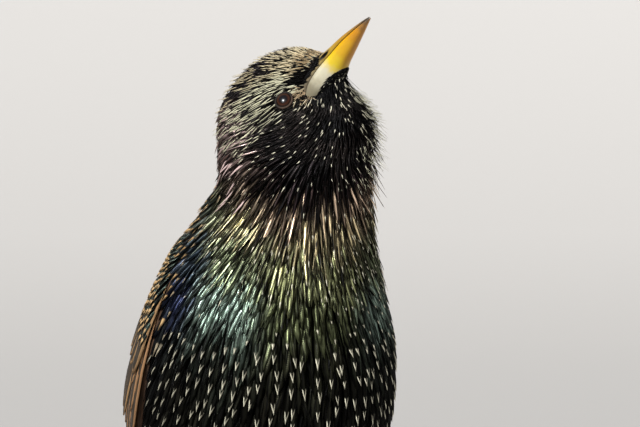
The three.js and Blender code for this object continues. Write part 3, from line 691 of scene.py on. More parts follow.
first, second, size, count = roots(0.15, 6.3, 0, 360, 215, 3.4)
away = 180 - side_of(second)
stripe, scruff, forehead, crown, cheek, throat = face_parts(first, second)
far_side = throat * between(184, 196, second) * between(262, 246, second)
likely = (cheek * 0.68 * (1 - 0.35 * between(5.2, 6.3, first)) + crown * 0.21 + forehead * 0.25
          + scruff * 0.5 + throat * (0.10 + 0.5 * far_side))
from_eye = np.hypot((first + 0.25 - EYE_STATION) * 5.5, (away - EYE_ANGLE) * 0.23)
kept = (chance.uniform(0, 1, count) < likely) & (from_eye > EYE_CLEAR)
first, second, stripe, scruff, forehead, crown, cheek, throat, far_side = (
    part[kept] for part in (first, second, stripe, scruff, forehead, crown, cheek, throat, far_side))
count = len(first)
tip = varied(shared((cheek, CREAM), (crown, (CREAM + BUFF) * 0.4),
                    (forehead, CREAM * 0.15 + BUFF * 0.7), (scruff, TAN),
                    (throat * (1 - far_side), WHITE), (throat * far_side, CREAM)), count)
length = (cheek * 2.6 + crown * 2.3 + forehead * 1.7 + scruff * 1.5 + throat * (1.9 + 3.0 * far_side)
          + 0.5) * chance.uniform(0.8, 1.25, count)
width = 0.27 + 0.06 * cheek + 0.24 * crown + 0.12 * throat * (1 - far_side)
starts = (0.18 * cheek + 0.42 * crown + 0.25 * forehead + 0.3 * scruff
          + throat * (0.60 + 0.1 * far_side))
rise = chance.uniform(0, 1, count) * (
    0.25 + 1.1 * cheek * between(3.4, 4.8, first) + (0.9 + 0.8 * between(2.8, 4.0, first)) * crown
    + 0.3 * throat + 4.4 * far_side)
feathers(
    "head_streaks", plumage, on_body, first, second, length, width * chance.uniform(0.8, 1.2, count),
    (-1.5, -0.35 + 1.8 * far_side, -0.3 + 1.2 * far_side + rise),
    varied(gloss_at(first, second), count, 0.4), tip, (starts, 0.0, 0.5), STRAND,
    chance.normal(0, 0.13, count) + 0.8 * scruff * chance.normal(0, 1, count)
    + fan(second, 0.6) * throat, thick=0.10, sides=3)

# Neck feathers: long loose hackles down the throat and the sides, with a purple gloss and small
# pale points, over finer strands, and shorter buff-tipped ones down the nape.
ROSE = np.array([0.34, 0.25, 0.235])


def strands(name, place, length, width, rise, scatter, parting):
    """Fine dark feathers, which fill what the broader ones leave open."""
    first, second, size, count = roots(*place)
    feathers(
        name, plumage, on_body, first, second,
        np.clip(size * length[0], *length[1:]), np.clip(size * width[0], *width[1:]),
        (-1.8, -0.6, rise[0] + chance.uniform(0, rise[1], count)),
        shimmer(gloss_at(first + 0.3, second) * 0.6, first, second), varied(WHITE, count),
        UNMARKED, STRAND, chance.normal(0, scatter, count) + parting(first, second), sides=3)


def throat_parting(station, angle):
    return fan(angle, 0.5) * between(9.0, 6.5, station)


strands("neck_strands", (4.7, 9.0, 0, 360, 190, 2.2), (14, 5, 10), (0.7, 0.26, 0.5), (-0.6, 0.8),
        0.12, throat_parting)
first, second, size, count = roots(4.9, 9.1, 0, 360, 74, 1.7)
side = side_of(second)
front = 1 - between(95, 125, side)
far_side = between(190, 205, second) * between(262, 246, second) * between(7.6, 6.6, first)
shoulder = between(6.6, 7.2, first) * between(84, 92, side)
tip = varied(shared(((1 - shoulder) * front, WHITE),
                    (shoulder + (1 - front) * (1 - shoulder), BUFF)), count)
starts = front * chance.uniform(0.84, 0.95, count) + (1 - front) * chance.uniform(0.75, 0.9, count)
likely = 0.40 + 0.2 * between(6.0, 7.0, first) + 0.3 * far_side + 0.3 * shoulder
starts += 2.0 * (chance.uniform(0, 1, count) > likely) - 0.08 * shoulder
# Painted highlight: on the collar, about half the hackles take a pale rose from a quarter or half of
# their length to the tip, where the light catches them.
collar = (between(5.4, 6.0, first) * between(7.6, 7.0, first) * between(50, 64, side)
          * between(122, 108, side))
lit = chance.uniform(0, 1, count) < 0.5 * collar
tip = np.where(lit[:, None], varied(ROSE, count, 0.4), tip)
starts = np.where(lit, chance.uniform(0.25, 0.55, count), starts)
loose = 0.7 + front * 0.9 + far_side * 3.2
feathers(
    "neck_feathers", hackles, on_body, first, second,
    front * chance.uniform(8, 13, count) + (1 - front) * 6.5,
    np.clip(size * 1.0, 0.75, 1.6) * (1 - 0.5 * far_side),
    (-1.8, -0.1 + far_side, -0.3 + loose * chance.uniform(0, 1, count) ** 1.5),
    shimmer(gloss_at(first + 0.4, second), first, second, 0.18, 2.1, 1.9), tip,
    (starts, 0.0, 0.36), LANCE,
    chance.normal(0, 0.08, count) + fan(second, 0.1 + 0.45 * between(9.0, 6.5, first)), camber=0.35)

# Body feathers, from the upper breast to the vent and over the back: fine dark ones all over, long
# glossy ones, and over them those that end in a V of white in front, or in a buff tip on the back.
def breast_parting(station, angle):
    return fan(angle, 0.25) * between(10.5, 8.5, station)


strands("body_strands", (8.3, 17.4, 0, 360, 130, 2.3), (6.5, 5, 10), (0.75, 0.4, 1.2), (-0.5, 0.6),
        0.10, breast_parting)
first, second, size, count = roots(7.9, 17.2, 0, 360, 60, 1.5)
feathers(
    "body_locks", glossy, on_body, first, second,
    np.clip(size * 4.0, 9, 13) * chance.uniform(0.85, 1.15, count), np.clip(size * 1.25, 1.5, 4.2),
    (-1.8, -0.3, -0.3 + chance.uniform(0, 0.7, count)),
    shimmer(gloss_at(first + 0.55, second), first, second, 0.3, 1.4, 1.4), varied(WHITE, count),
    UNMARKED, POINT, chance.normal(0, 0.10, count) + breast_parting(first, second), camber=0.35)
first, second, size, count = roots(7.8, 17.3, 0, 360, 56, 1.22)
side = side_of(second)
away = 180 - side
lower = between(9.6, 10.1, first - 0.3 * between(20, 60, side))
shoulder = (between(7.5, 8.2, first) * between(11.0, 10.4, first) * between(98, 90, away)
            * between(50, 58, away))
scapular = shoulder * between(9.9, 9.2, first)
front = (1 - between(95, 120, side)) * (1 - shoulder)
tip = varied(shared((front, WHITE), (1 - front, BUFF)), count)
starts = 0.90 - 0.17 * lower - 0.09 * shoulder + chance.normal(0, 0.015, count)
bird_left = between(192, 206, second) * between(290, 270, second)
likely = 0.12 + 0.6 * bird_left + lower + shoulder + (1 - front)
starts += 2.0 * (chance.uniform(0, 1, count) > likely)
feathers(
    "body_feathers", glossy, on_body, first, second,
    np.clip(size * 2.9, 8, 12) * chance.uniform(0.9, 1.1, count),
    np.clip(size * 0.75, 0.9, 2.5) * (1 + 0.5 * shoulder - 0.22 * lower * front),
    (-1.8, -0.1 + 0.8 * scapular, 1.3 * scapular + 0.5 * chance.uniform(0, 1, count)),
    shimmer(gloss_at(first + 0.6, second), first, second, 0.3, 1.4, 1.6), tip,
    (starts, lower * front, 0.5), POINT,
    chance.normal(0, 0.07, count) + breast_parting(first, second), camber=0.3)

# The bill: two jaws of smooth horn, whitish at the base of the lower one, then yellow, then orange,
# and greyish at the tip. They meet at the mouth line, and the upper one has a nostril on each side.
# Forward of the eyes, ridge, mouth line, keel and half width.
BILL_SECTIONS = np.array([
    (3.5, 5.2, -0.4, -4.6, 5.6),
    (7.5, 5.5, 1.0, -4.8, 5.5),
    (12.5, 5.2, 1.8, -4.4, 4.2),
    (19.0, 4.0, 1.7, -3.2, 3.0),
    (25.0, 2.9, 1.3, -2.5, 2.4),
    (31.0, 1.4, 0.45, -1.8, 1.55),
    (35.0, 0.3, -0.3, -1.3, 0.8),
    (37.0, -0.4, -0.75, -1.1, 0.25),
])
NOSTRIL = (16.6, 3.0, 2.9)
NOSTRIL_SIZE = (2.0, 0.55, 0.8)
MOUTH_GAP = 0.22
JAW_STEPS = 48
JAW_AROUND = 28
JAW_FLOOR = 6


def jaw(name, upper):
    """A jaw is an arch from the mouth line to the ridge or the keel, with a flat floor."""
    rows = eased(BILL_SECTIONS, np.linspace(0, len(BILL_SECTIONS) - 1, JAW_STEPS))
    forward, ridge, mouth, keel, half = rows.T
    gap = math.copysign(MOUTH_GAP / 2, 1 if upper else -1)
    span = (ridge if upper else keel) - mouth - gap
    turns = np.linspace(0, math.pi, JAW_AROUND - JAW_FLOOR)
    floor_turns = np.linspace(-1, 1, JAW_FLOOR + 2)[1:-1]
    arch = np.sin(turns) ** (0.9 if upper else 0.8)
    up = np.hstack([mouth[:, None] + span[:, None] * arch,
                    np.repeat(mouth[:, None], JAW_FLOOR, 1)]) + gap
    right = half[:, None] * np.hstack([np.cos(turns), floor_turns])
    points = in_head(np.repeat(forward[:, None], JAW_AROUND, 1), up, right)
    return new_object(name, points.reshape(-1, 3), tube_faces(JAW_STEPS, JAW_AROUND))


def in_head_frame(piece):
    """How far each corner of a piece lies forward of the eyes, above them and to the right."""
    corners = np.empty(len(piece.data.vertices) * 3, np.float32)
    piece.data.vertices.foreach_get("co", corners)
    away = corners.reshape(-1, 3) * 1000.0 + CENTRE - EYE_LEVEL
    return away @ np.stack([head_forward, head_up, head_right], 1)


def new_ball(segments, rings, radius):
    bpy.ops.object.select_all(action="DESELECT")
    bpy.ops.mesh.primitive_uv_sphere_add(
        segments=segments, ring_count=rings, radius=radius, location=(0, 0, 0))
    return bpy.context.object


def cut_nostril(piece, side):
    """Cuts a slit with a ball that is stretched along the head's own ways."""
    cutter = new_ball(24, 12, 1.0)
    middle = in_head(NOSTRIL[0], NOSTRIL[1], side * NOSTRIL[2])
    lean = np.array([[1, -0.18, 0], [0.18, 1, 0], [0, 0, 1]])
    ways = lean @ np.stack([head_forward, head_up, head_right])
    for corner in cutter.data.vertices:
        corner.co = placed(middle + np.array(corner.co) * NOSTRIL_SIZE @ ways)
    cut = piece.modifiers.new("nostril", "BOOLEAN")
    cut.operation = "DIFFERENCE"
    cut.solver = "EXACT"
    cut.object = cutter
    bpy.context.view_layer.objects.active = piece
    bpy.ops.object.modifier_apply(modifier="nostril")
    bpy.data.objects.remove(cutter)


def colour_ramp(value, stops):
    """A colour that eases from stop to stop as a value goes from 0 to 1."""
    node = value.tree.nodes.new("ShaderNodeValToRGB")
    node.color_ramp.interpolation = "EASE"
    while len(node.color_ramp.elements) < len(stops):
        node.color_ramp.elements.new(0.5)
    for element, (place, colour) in zip(node.color_ramp.elements, stops):
        element.position = place
        element.color = (*colour, 1)
    feed(node, Fac=value)
    return Value(node.outputs["Color"])


# The fine grain of horn: small flecks, by which its colours also run into each other unevenly.
GRAIN_SCALE = 420.0
grain, given, leave = new_group("horn_grain", [("Place", "Vector"), ("Scale", "Float", 1.0)],
                                [("Fleck", "Float"), ("Height", "Float")])
fleck = add_node(grain, "TexNoise", "Fac", Detail=5.0, Vector=given["Place"], Scale=given["Scale"])
feed(leave, Fleck=fleck, Height=fleck)


def horn_finish(name, stops, edge, roughness):
    """Horn by each point's place along the piece, with painted shade along one edge and painted shade in
    its hollows.
    """
    material, tree = new_material(name)
    fleck = add_node(tree, "Group", "Fleck", node_tree=grain, Scale=GRAIN_SCALE,
                     Place=add_node(tree, "TexCoord", "Object"))
    base = colour_ramp(attribute(tree, "along") + (fleck - 0.5) * 0.16, stops)
    edged = attribute(tree, "shade").mix(base, (*edge, 1))
    shade(tree, Base_Color=attribute(tree, "dark").mix(edged, (0.012, 0.009, 0.007, 1)),
          Roughness=fleck.ramp(0.3, 0.7, roughness - 0.06, roughness + 0.08),
          Normal=bump(fleck.other("Height"), 0.25, 0.0001),
          Subsurface_Weight=0.05, Subsurface_Radius=(0.002, 0.0012, 0.0006))
    return material


def finish_horn(piece, material, nodes, along, shaded, dark):
    for name, values in (("along", along), ("shade", shaded), ("dark", dark)):
        set_attribute(piece.data, name, np.broadcast_to(values, len(piece.data.vertices)))
    finish_piece(piece, material, nodes)


# Each jaw: its name, its colour of painted shade, and its colours from its base to its tip.
JAWS = [
    ("upper", (0.22, 0.11, 0.012), [
        (0.0, (0.10, 0.08, 0.05)), (0.24, (0.18, 0.14, 0.065)), (0.38, (0.26, 0.165, 0.015)),
        (0.7, (0.25, 0.125, 0.006)), (0.84, (0.15, 0.08, 0.018)), (0.93, (0.065, 0.045, 0.028)),
        (1.0, (0.045, 0.035, 0.025))]),
    ("lower", (0.42, 0.17, 0.003), [
        (0.0, (0.17, 0.15, 0.10)), (0.24, (0.40, 0.37, 0.27)), (0.38, (0.47, 0.34, 0.012)),
        (0.56, (0.46, 0.25, 0.004)), (0.80, (0.38, 0.16, 0.004)), (0.93, (0.12, 0.065, 0.025)),
        (1.0, (0.07, 0.05, 0.03))]),
]
for name, edge, stops in JAWS:
    piece = jaw(f"bill_{name}_horn", name == "upper")
    if name == "upper":
        cut_nostril(piece, 1)
        cut_nostril(piece, -1)
    forward, up, right = in_head_frame(piece).T
    share = between(6.0, 37.0, forward)
    ridge, mouth, keel = (np.interp(forward, BILL_SECTIONS[:, 0], BILL_SECTIONS[:, k])
                          for k in (1, 2, 3))
    # Painted shade: the upper jaw's ridge and, towards its tip, the lower jaw's keel side take the shade
    # colour.
    if name == "upper":
        shaded = between(0.7, 1.05, (up - mouth) / (ridge - mouth)) * 0.5
        # Painted shade: the nostril's slit and the horn just round it are darkened, as shade falls into
        # the hollow.
        away = np.stack([forward, up, np.abs(right)], 1) - NOSTRIL
        dark = between(1.5, 1.1, np.linalg.norm(away / NOSTRIL_SIZE, axis=1))
    else:
        shaded = between(0.72, 1.0, (mouth - up) / (mouth - keel)) * between(0.30, 0.5, share) * 0.9
        dark = 0.0
    finish_horn(piece, horn_finish(f"bill_{name}_horn", stops, edge, 0.36),
                [f"bill_{name}"], share, shaded, dark)

# Small black feathers on the bill's base: those of the lores run forward over the upper jaw to the
# nostrils, and those of the chin back from a point under the lower one.
LORE_END = 12.6
CHIN_WIDE = 12.0
CHIN_POINT = 18.3


def on_bill(ahead, turn, lift=0.0):
    """The bill's surface, forward of the eyes and round it, 0 at the bird's right, 90 on the ridge."""
    ridge, mouth, keel, half = (np.interp(ahead, BILL_SECTIONS[:, 0], BILL_SECTIONS[:, k])
                                for k in (1, 2, 3, 4))
    cosine, sine = np.cos(np.radians(turn)), np.sin(np.radians(turn))
    arch = np.sign(sine) * np.abs(sine) ** 0.85
    up = mouth + np.where(arch > 0, (ridge - mouth + lift) * arch, (mouth - keel + lift) * arch)
    return in_head(ahead, up, (half + lift) * cosine)


for name, start, end in (("lores_right", 14, 84), ("lores_left", 166, 96)):
    first, second, size, count = roots(3.8, LORE_END, start, end, 26, 1.3, on_bill)
    feathers(name, plumage, on_bill, first, second, chance.uniform(1.8, 2.6, count), 0.42,
             (-0.3, 0.35, 0.15), 0.012, varied(WHITE, count), UNMARKED, LANCE,
             chance.normal(0, 0.2, count))
first, second, size, count = roots(4.0, CHIN_POINT, 216, 324, 44, 1.3, on_bill)
reach = np.sqrt(1 - between(CHIN_WIDE, CHIN_POINT, first) ** 2)
kept = np.abs(second - 270) < 52 * reach
first, second = first[kept], second[kept]
count = len(first)
feathers("chin_feathers", plumage, on_bill, first, second, chance.uniform(1.8, 2.8, count), 0.45,
         (-0.25, 0.4, 0.3), 0.014, varied(WHITE, count),
         (0.75 + 2.0 * (chance.uniform(0, 1, count) > 0.08), 0.0, 0.5), LANCE,
         math.pi + chance.normal(0, 0.2, count))

# The eyes: wet balls with a black pupil in a dark brown iris, sunk into the head. A ring of bare
# wrinkled lid skin lies round each of them, black above and brown below.
EYE_RADIUS = 3.4
EYE_SUNK = 2.35
EYE_STOPS = [(0.0, (0.003, 0.003, 0.004)), (0.29, (0.003, 0.003, 0.004)), (0.36, (0.010, 0.004, 0.003)),
             (0.49, (0.028, 0.010, 0.005)), (0.57, (0.010, 0.004, 0.0025)), (0.63, (0.004, 0.003, 0.002))]
LID_RADIUS = 2.45
LID_SQUEEZE = 0.12
LID_WIDE, LID_HIGH = 0.32, 0.26
LID_AROUND, LID_RING = 48, 10


def specks(tree, scale):
    return add_node(tree, "TexNoise", "Fac", Scale=scale, Vector=add_node(tree, "TexCoord", "Object"))


eye_wet, tree = new_material("eye_wet")
uneven = attribute(tree, "ring") + (specks(tree, 2500.0) - 0.5) * 0.04
shade(tree, Base_Color=colour_ramp(uneven, EYE_STOPS), Roughness=0.24, Specular_IOR_Level=0.2)
lid_skin, tree = new_material("lid_skin")
wrinkle = specks(tree, 1800.0)
pale = wrinkle.mix((0.02, 0.012, 0.008, 1), (0.055, 0.033, 0.021, 1))
shade(tree, Base_Color=attribute(tree, "lower").mix((0.008, 0.006, 0.005, 1), pale),
      Normal=bump(wrinkle, 0.6, 0.0001), Roughness=0.7, Specular_IOR_Level=0.15)

for side_name, sign in (("right", 1), ("left", -1)):
    place = np.array(EYE_STATION), np.array(sign * EYE_ANGLE)
    spot = on_body(*place)
    _, _, lie, out = pace(on_body, *place)
    upwards = unit(np.cross(out, lie))
    if upwards @ head_up < 0:
        upwards = -upwards
    centre, ways = spot - out * EYE_SUNK, np.stack([lie, upwards, out])
    ball = new_ball(48, 32, EYE_RADIUS)
    ball.name = ball.data.name = "eyeball_" + side_name
    distances = []
    for corner in ball.data.vertices:
        local = np.array(corner.co)
        distances.append(math.hypot(local[0], local[1]) / EYE_RADIUS if local[2] > 0 else 1.0)
        corner.co = placed(centre + local @ ways)
    set_attribute(ball.data, "ring", distances)
    ball.data.shade_smooth()
    face_outwards(ball)
    finish_piece(ball, eye_wet, ["eye_" + side_name])
    lid_points = []
    lower_share = []
    lid_faces = []
    for k in range(LID_AROUND):
        turn = 2 * math.pi * k / LID_AROUND
        away = lie * math.cos(turn) + upwards * math.sin(turn)
        squeezed = LID_RADIUS - LID_SQUEEZE * math.sin(turn) ** 2
        for j in range(LID_RING):
            bend = 2 * math.pi * j / LID_RING
            lid_points.append(spot + away * (squeezed + LID_WIDE * math.cos(bend))
                              + out * (0.05 + LID_HIGH * math.sin(bend)))
            lower_share.append(between(-0.1, -0.7, math.sin(turn)))
            after, beside = (k + 1) % LID_AROUND, (j + 1) % LID_RING
            lid_faces.append([LID_RING * ring + step for ring, step in (
                (k, j), (k, beside), (after, beside), (after, j))])
    lid = new_object("lid_" + side_name, lid_points, lid_faces)
    set_attribute(lid.data, "lower", lower_share)
    finish_piece(lid, lid_skin)

# Folded wings: each a dark core under tiers of feathers, small rounded coverts at the wrist, then
# longer ones, then the tertials over the secondaries, and the long primaries that reach the tail.
# Each row: station and angle of the lower edge, lift in mm, station and angle of the upper edge.
WING_EDGES = np.array([
    (9.7, 74, 0.7, 9.3, 52),
    (10.5, 81, 1.1, 10.2, 38),
    (11.6, 86, 1.7, 11.3, 31),
    (12.8, 90, 2.3, 12.5, 29),
    (14.0, 93, 2.7, 13.8, 28),
    (15.3, 91, 2.9, 15.2, 27),
    (16.6, 83, 2.9, 16.5, 24),
    (18.2, 70, 2.4, 18.2, 20),
    (20.3, 48, 1.8, 20.1, 24),
])


def wing_surface(sign):
    """The folded wing of one side, 0 to 1 along it from the wrist and across it from below."""
    def on_wing(along, across, lift=0.0):
        along, across, lift = np.broadcast_arrays(along, across, lift)
        row = eased(WING_EDGES, np.clip(along, 0, 1) * (len(WING_EDGES) - 1))
        low, high = row[..., 0:2], row[..., 3:5]
        place = low + (high - low) * across[..., None]
        inside = np.sin(np.pi * np.clip(across, 0, 1))
        rounding = 0.6 + 0.4 * np.sqrt(np.maximum(inside, 0))
        return on_body(place[..., 0], sign * place[..., 1], row[..., 2] * rounding + lift)
    return on_wing


# A stiff vane: its mark gives where the rusty fringe begins beside the quill and at the tip.
DARK_VANE = (0.02, 0.016, 0.013, 1)
QUILL_TONE = (0.012, 0.009, 0.008, 1)
edged, given, leave = new_group("edged_vane", VANE_INPUTS, VANE_OUTPUTS)
u, v, _ = given["Vane"].parts()
side_begins, tip_begins, _ = given["Mark"].parts()
off_middle = abs(u - 0.5)
streak = add_node(edged, "TexNoise", "Fac", Scale=1.3, Detail=4.0, Vector=add_node(
    edged, "CombineXYZ", X=u * 5.0, Y=v * 14.0 + off_middle * -10.0, Z=given["Seed"] * 60.0))
barb_wave = worked("SINE", (v * 60.0 + off_middle * -24.0) * FULL_TURN)
fringe = worked("MAXIMUM", (off_middle - side_begins).ramp(0.0, 0.09), (v - tip_begins).ramp(0.0, 0.05))
quill = off_middle.ramp(0.012, 0.03, 1.0, 0.0)
toned = streak.ramp(0.3, 0.7).mix(DARK_VANE, given["Gloss"])
feed(leave, Color=quill.mix(fringe.mix(toned, given["Tip"]), QUILL_TONE),
     Metallic=fringe.ramp(0.0, 1.0, 0.15, 0.0), Roughness=fringe.ramp(0.0, 1.0, 0.52, 0.7),
     Height=barb_wave * 0.3 + quill * 1.5)
flight = vane_finish("flight_feathers", edged, 0.5, {}, Specular_IOR_Level=0.15)

QUILL = ((0, 0.5), (0.12, 0.8), (0.3, 0.95), (0.5, 1.0), (0.7, 1.0), (0.84, 0.95), (0.93, 0.75), (1, 0.2))
COVERT = ((0, 0.5), (0.25, 0.9), (0.5, 1.0), (0.7, 0.98), (0.86, 0.82), (0.95, 0.55), (1, 0.18))
RUST = np.array([0.34, 0.185, 0.088])
OLIVE_BROWN = np.array([0.046, 0.029, 0.016])
WING_GREEN = np.array([0.010, 0.024, 0.020])
# Each tier: how many, root along and across from its first feather to its last, tip along and
# across, lift of the root and of the tip, width in mm, share of the half width that stays dark,
# where the pale tip begins, and how glossy it is.
WING_TIERS = [
    ("primaries", 8, (0.30, 0.42), (0.03, 0.34), (1.0, 0.72), (0.46, 0.60),
     -1.4, (-0.5, 0.1), (5.0, 6.2), 0.28, 0.985, 0.05),
    ("secondaries", 7, (0.33, 0.40), (0.20, 0.70), (0.63, 0.68), (0.26, 0.72),
     -1.2, (-0.1, 0.6), (9.0, 10.0), 0.33, 0.985, 0.1),
    ("tertials", 3, (0.33, 0.28), (0.76, 0.92), (0.66, 0.50), (0.80, 0.92),
     -0.6, (0.7, 1.1), (11.0, 9.5), 0.40, 0.975, 0.2),
    ("alula", 3, (0.14, 0.16), (0.06, 0.16), (0.36, 0.30), (0.03, 0.12),
     -0.5, (0.3, 0.7), (5.0, 5.0), 0.20, 0.95, 0.15),
    ("primary_coverts", 6, (0.18, 0.22), (0.10, 0.30), (0.44, 0.38), (0.06, 0.28),
     -0.5, (0.1, 0.5), (5.4, 6.0), 0.16, 0.94, 0.15),
    ("greater_coverts", 10, (0.20, 0.22), (0.22, 0.96), (0.40, 0.38), (0.24, 0.94),
     -0.5, (0.7, 1.2), (7.0, 7.4), 0.24, 0.955, 0.1),
    ("median_coverts", 10, (0.11, 0.12), (0.08, 0.96), (0.26, 0.265), (0.10, 0.95),
     -0.4, (1.1, 1.5), (7.2, 7.6), 0.24, 0.935, 0.25),
]
QUILLED = ("primaries", "secondaries", "tertials")
PALER = ("median_coverts", "greater_coverts")
CORE_ROWS, CORE_COLUMNS = 34, 15
CORE_END = 0.76
CORE_TOP, CORE_UNDER = -0.9, -3.2
for side_name, sign in (("right", 1), ("left", -1)):
    surface = wing_surface(sign)
    core_along = np.linspace(0.0, CORE_END, CORE_ROWS)
    core_across = np.linspace(0, 1, CORE_COLUMNS)
    points = np.concatenate([surface(core_along[:, None], core_across[None, :], CORE_TOP),
                             surface(core_along[:, None], core_across[None, ::-1], CORE_UNDER)], 1)
    core = new_object("wing_core_" + side_name, points.reshape(-1, 3),
                      tube_faces(CORE_ROWS, 2 * CORE_COLUMNS))
    dress(core.data, (0.10, 0.05, 0.025), OLIVE_BROWN, (2.0, 2.0, 0))
    core_uv = np.stack([np.tile(np.tile(core_across, 2), CORE_ROWS) * 3,
                        np.repeat(core_along, 2 * CORE_COLUMNS) * 3], 1)
    set_uv(core.data, "Vane", core_uv)
    set_uv(core.data, "OFBake", core_uv / 3 * 0.9 + 0.05)
    finish_piece(core, flight, ["wing_" + side_name])
    for tier, count, *root_and_tip, sunk, rise, width, dark, pale, shine in WING_TIERS:
        share = np.linspace(0, 1, count)
        along_root, across_root, along_tip, across_tip = (
            np.interp(share, (0, 1), ends) for ends in root_and_tip)

        def on_feather(t, across, lift, count=count, surface=surface, start=(along_root, across_root),
                       way=(along_tip - along_root, across_tip - across_root)):
            row = np.minimum(np.floor(across), count - 1).astype(int)
            inside = across - row - 0.5
            return surface(start[0][row] + way[0][row] * t,
                           start[1][row] + way[1][row] * t + inside * 0.1, lift)

        rows = np.arange(count) + 0.5
        lengths, _, _, _ = pace(on_feather, np.full(count, 0.5), rows)
        rise = np.interp(share, (0, 1), rise)
        feathers(
            tier + "_" + side_name, flight, on_feather, np.full(count, 0.02), rows, lengths * 0.96,
            np.interp(share, (0, 1), width), (sunk, rise, rise),
            varied(OLIVE_BROWN * (1 - shine) + WING_GREEN * shine, count, 0.25),
            varied((RUST + BUFF) / 2 if tier in PALER else RUST, count, 0.15), (dark, pale, 0.0),
            QUILL if tier in QUILLED else COVERT, 0.0, 0.22, 0.10,
            bake=np.stack([0.1 + 0.8 * across_root, 0.1 + 0.8 * along_root], 1))
    first, second, size, count = roots(0.015, 0.20, 0.02, 0.98, 15, 1.2, surface)
    feathers(
        "lesser_coverts_" + side_name, plumage, surface, first, second, size * 3.2, size * 1.7,
        (-0.9, 1.2, 1.3), varied(gloss_at(10.0 + first * 6, np.full(count, 60.0)), count, 0.4),
        varied(BUFF, count), (0.68, 0.0, 0.30), POINT, 0.0, 0.15, 0.12,
        bake=np.stack([0.1 + 0.8 * second, 0.1 + 0.8 * first], 1))

# The tail: twelve stiff feathers, each pair under the one before, with coverts over their roots
# and longer ones beneath.
TAIL_TIP = 23.0
TAIL_ROOT = TAIL_START + 0.5
TAIL_FEATHERS = 12
rank = np.repeat(np.arange(TAIL_FEATHERS // 2), 2)
sign = np.tile([1, -1], TAIL_FEATHERS // 2)
order = np.arange(TAIL_FEATHERS) + 0.5
tail_tip = TAIL_TIP - 0.3 + 0.05 * rank


def on_tail(station, across, height):
    station, across, height = np.broadcast_arrays(station, across, height)
    row = eased(station_rows, station)
    back, belly, wide = (row[..., 3 * k:3 * k + 3] for k in range(3))
    centre = (back + belly) / 2
    return centre + unit(back - centre) * height[..., None] + unit(wide) * across[..., None]


def on_quill(t, which, height):
    row = np.clip(np.floor(which), 0, TAIL_FEATHERS - 1).astype(int)
    t = np.clip(t, 0, 1)
    station = TAIL_ROOT + (tail_tip[row] - TAIL_ROOT) * t
    spread = 1.6 * np.clip(t * 1.4, 0, 1) + (0.9 + 0.85 * t) * rank[row]
    level = 1.1 - 0.6 * t - 0.38 * rank[row] - 0.17 * (sign[row] < 0)
    return on_tail(station, sign[row] * spread + (which - row - 0.5) * 10.0, level + height)


lengths, _, _, _ = pace(on_quill, np.full(TAIL_FEATHERS, 0.5), order)
feathers(
    "rectrices", flight, on_quill, np.full(TAIL_FEATHERS, 0.02), order, lengths * 0.97, 6.6,
    (-0.3, 0.0, 0.0), varied(OLIVE_BROWN * 1.1, TAIL_FEATHERS, 0.15),
    varied(RUST * 0.8, TAIL_FEATHERS, 0.1), (0.42, 0.985, 0.0), QUILL, 0.0, 0.25, 0.04,
    bake=np.stack([0.05 + 0.9 * order / TAIL_FEATHERS, np.full(TAIL_FEATHERS, 0.5)], 1),
    nodes=["tail"])
first, second, size, count = roots(16.6, 18.9, 0, 360, 34, 1.5)
under = side_of(second) < 75
feathers(
    "tail_coverts", plumage, on_body, first, second,
    np.where(under, 13.0, 9.0) * chance.uniform(0.85, 1.1, count), size * 2.3, (-1.2, -0.3, -0.2),
    varied(np.where(under[:, None], OLIVE_BROWN, gloss_at(first, second)), count, 0.3),
    varied(BUFF, count), (0.84, 0.9, 0.6), LEAF, 0.0, 0.15, 0.10)

# Legs: thighs in short dark feathers, then bare scaly shanks, and feet of three toes ahead and one
# behind, all reddish brown, with dark curved claws.
# Rows of each path's place and radius for the thigh, and half width and half depth for the shank.
THIGH_ROWS = np.array([
    (13.0, -3.0, 56.0, 9.0), (15.0, 4.5, 45.0, 7.0), (15.9, 11.5, 35.6, 3.7), (16.0, 14.0, 31.6, 2.2)])
THIGH_RINGS, THIGH_AROUND = 24, 28
THIGH_DEPTH = 0.7
SHANK_ROWS = np.array([
    (16.0, 14.2, 32.0, 1.9, 2.3), (16.0, 13.6, 29.6, 1.75, 2.1), (16.1, 12.0, 25.0, 1.2, 1.6),
    (16.25, 9.6, 18.0, 1.12, 1.5), (16.4, 7.2, 11.0, 1.15, 1.5), (16.5, 5.6, 6.0, 1.6, 1.7),
    (16.5, 4.8, 1.2, 1.6, 1.7)])
SHANK_RINGS, SHANK_AROUND = 110, 20
SCUTE, SCUTE_EDGE = 2.6, 0.09
# Each toe's bearing, length, claw length and joints.
TOES = [("inner", -26, 14.5, 5.5, 2), ("middle", 3, 19.5, 6.0, 3), ("outer", 30, 15.0, 5.5, 4),
        ("hind", 176, 11.5, 8.0, 2)]
TOE_ROOT = np.array([16.5, 4.6, 0.0])
TOE_THICK = 1.3
TOE_SWELL = 0.09
TOE_RIDGE, TOE_SCALE = 0.05, 1.5
TOE_END = 6
TOE_RINGS, TOE_AROUND = 60, 16
CLAW_ROWS = np.array([(-0.1, 0.95, 0.9), (0.12, 1.15, 0.86), (0.4, 1.3, 0.7), (0.7, 1.0, 0.45),
                      (1.0, 0.25, 0.12)])
CLAW_RINGS, CLAW_AROUND = 20, 14
CLAW_GAP = 0.3
PAD_ROWS = np.array([(0.0, 2.5), (1.2, 2.75), (2.6, 2.5), (3.6, 1.9), (4.1, 1.0)])
PAD_RINGS, PAD_AROUND = 16, 20
ACROSS = np.array([1.0, 0, 0])

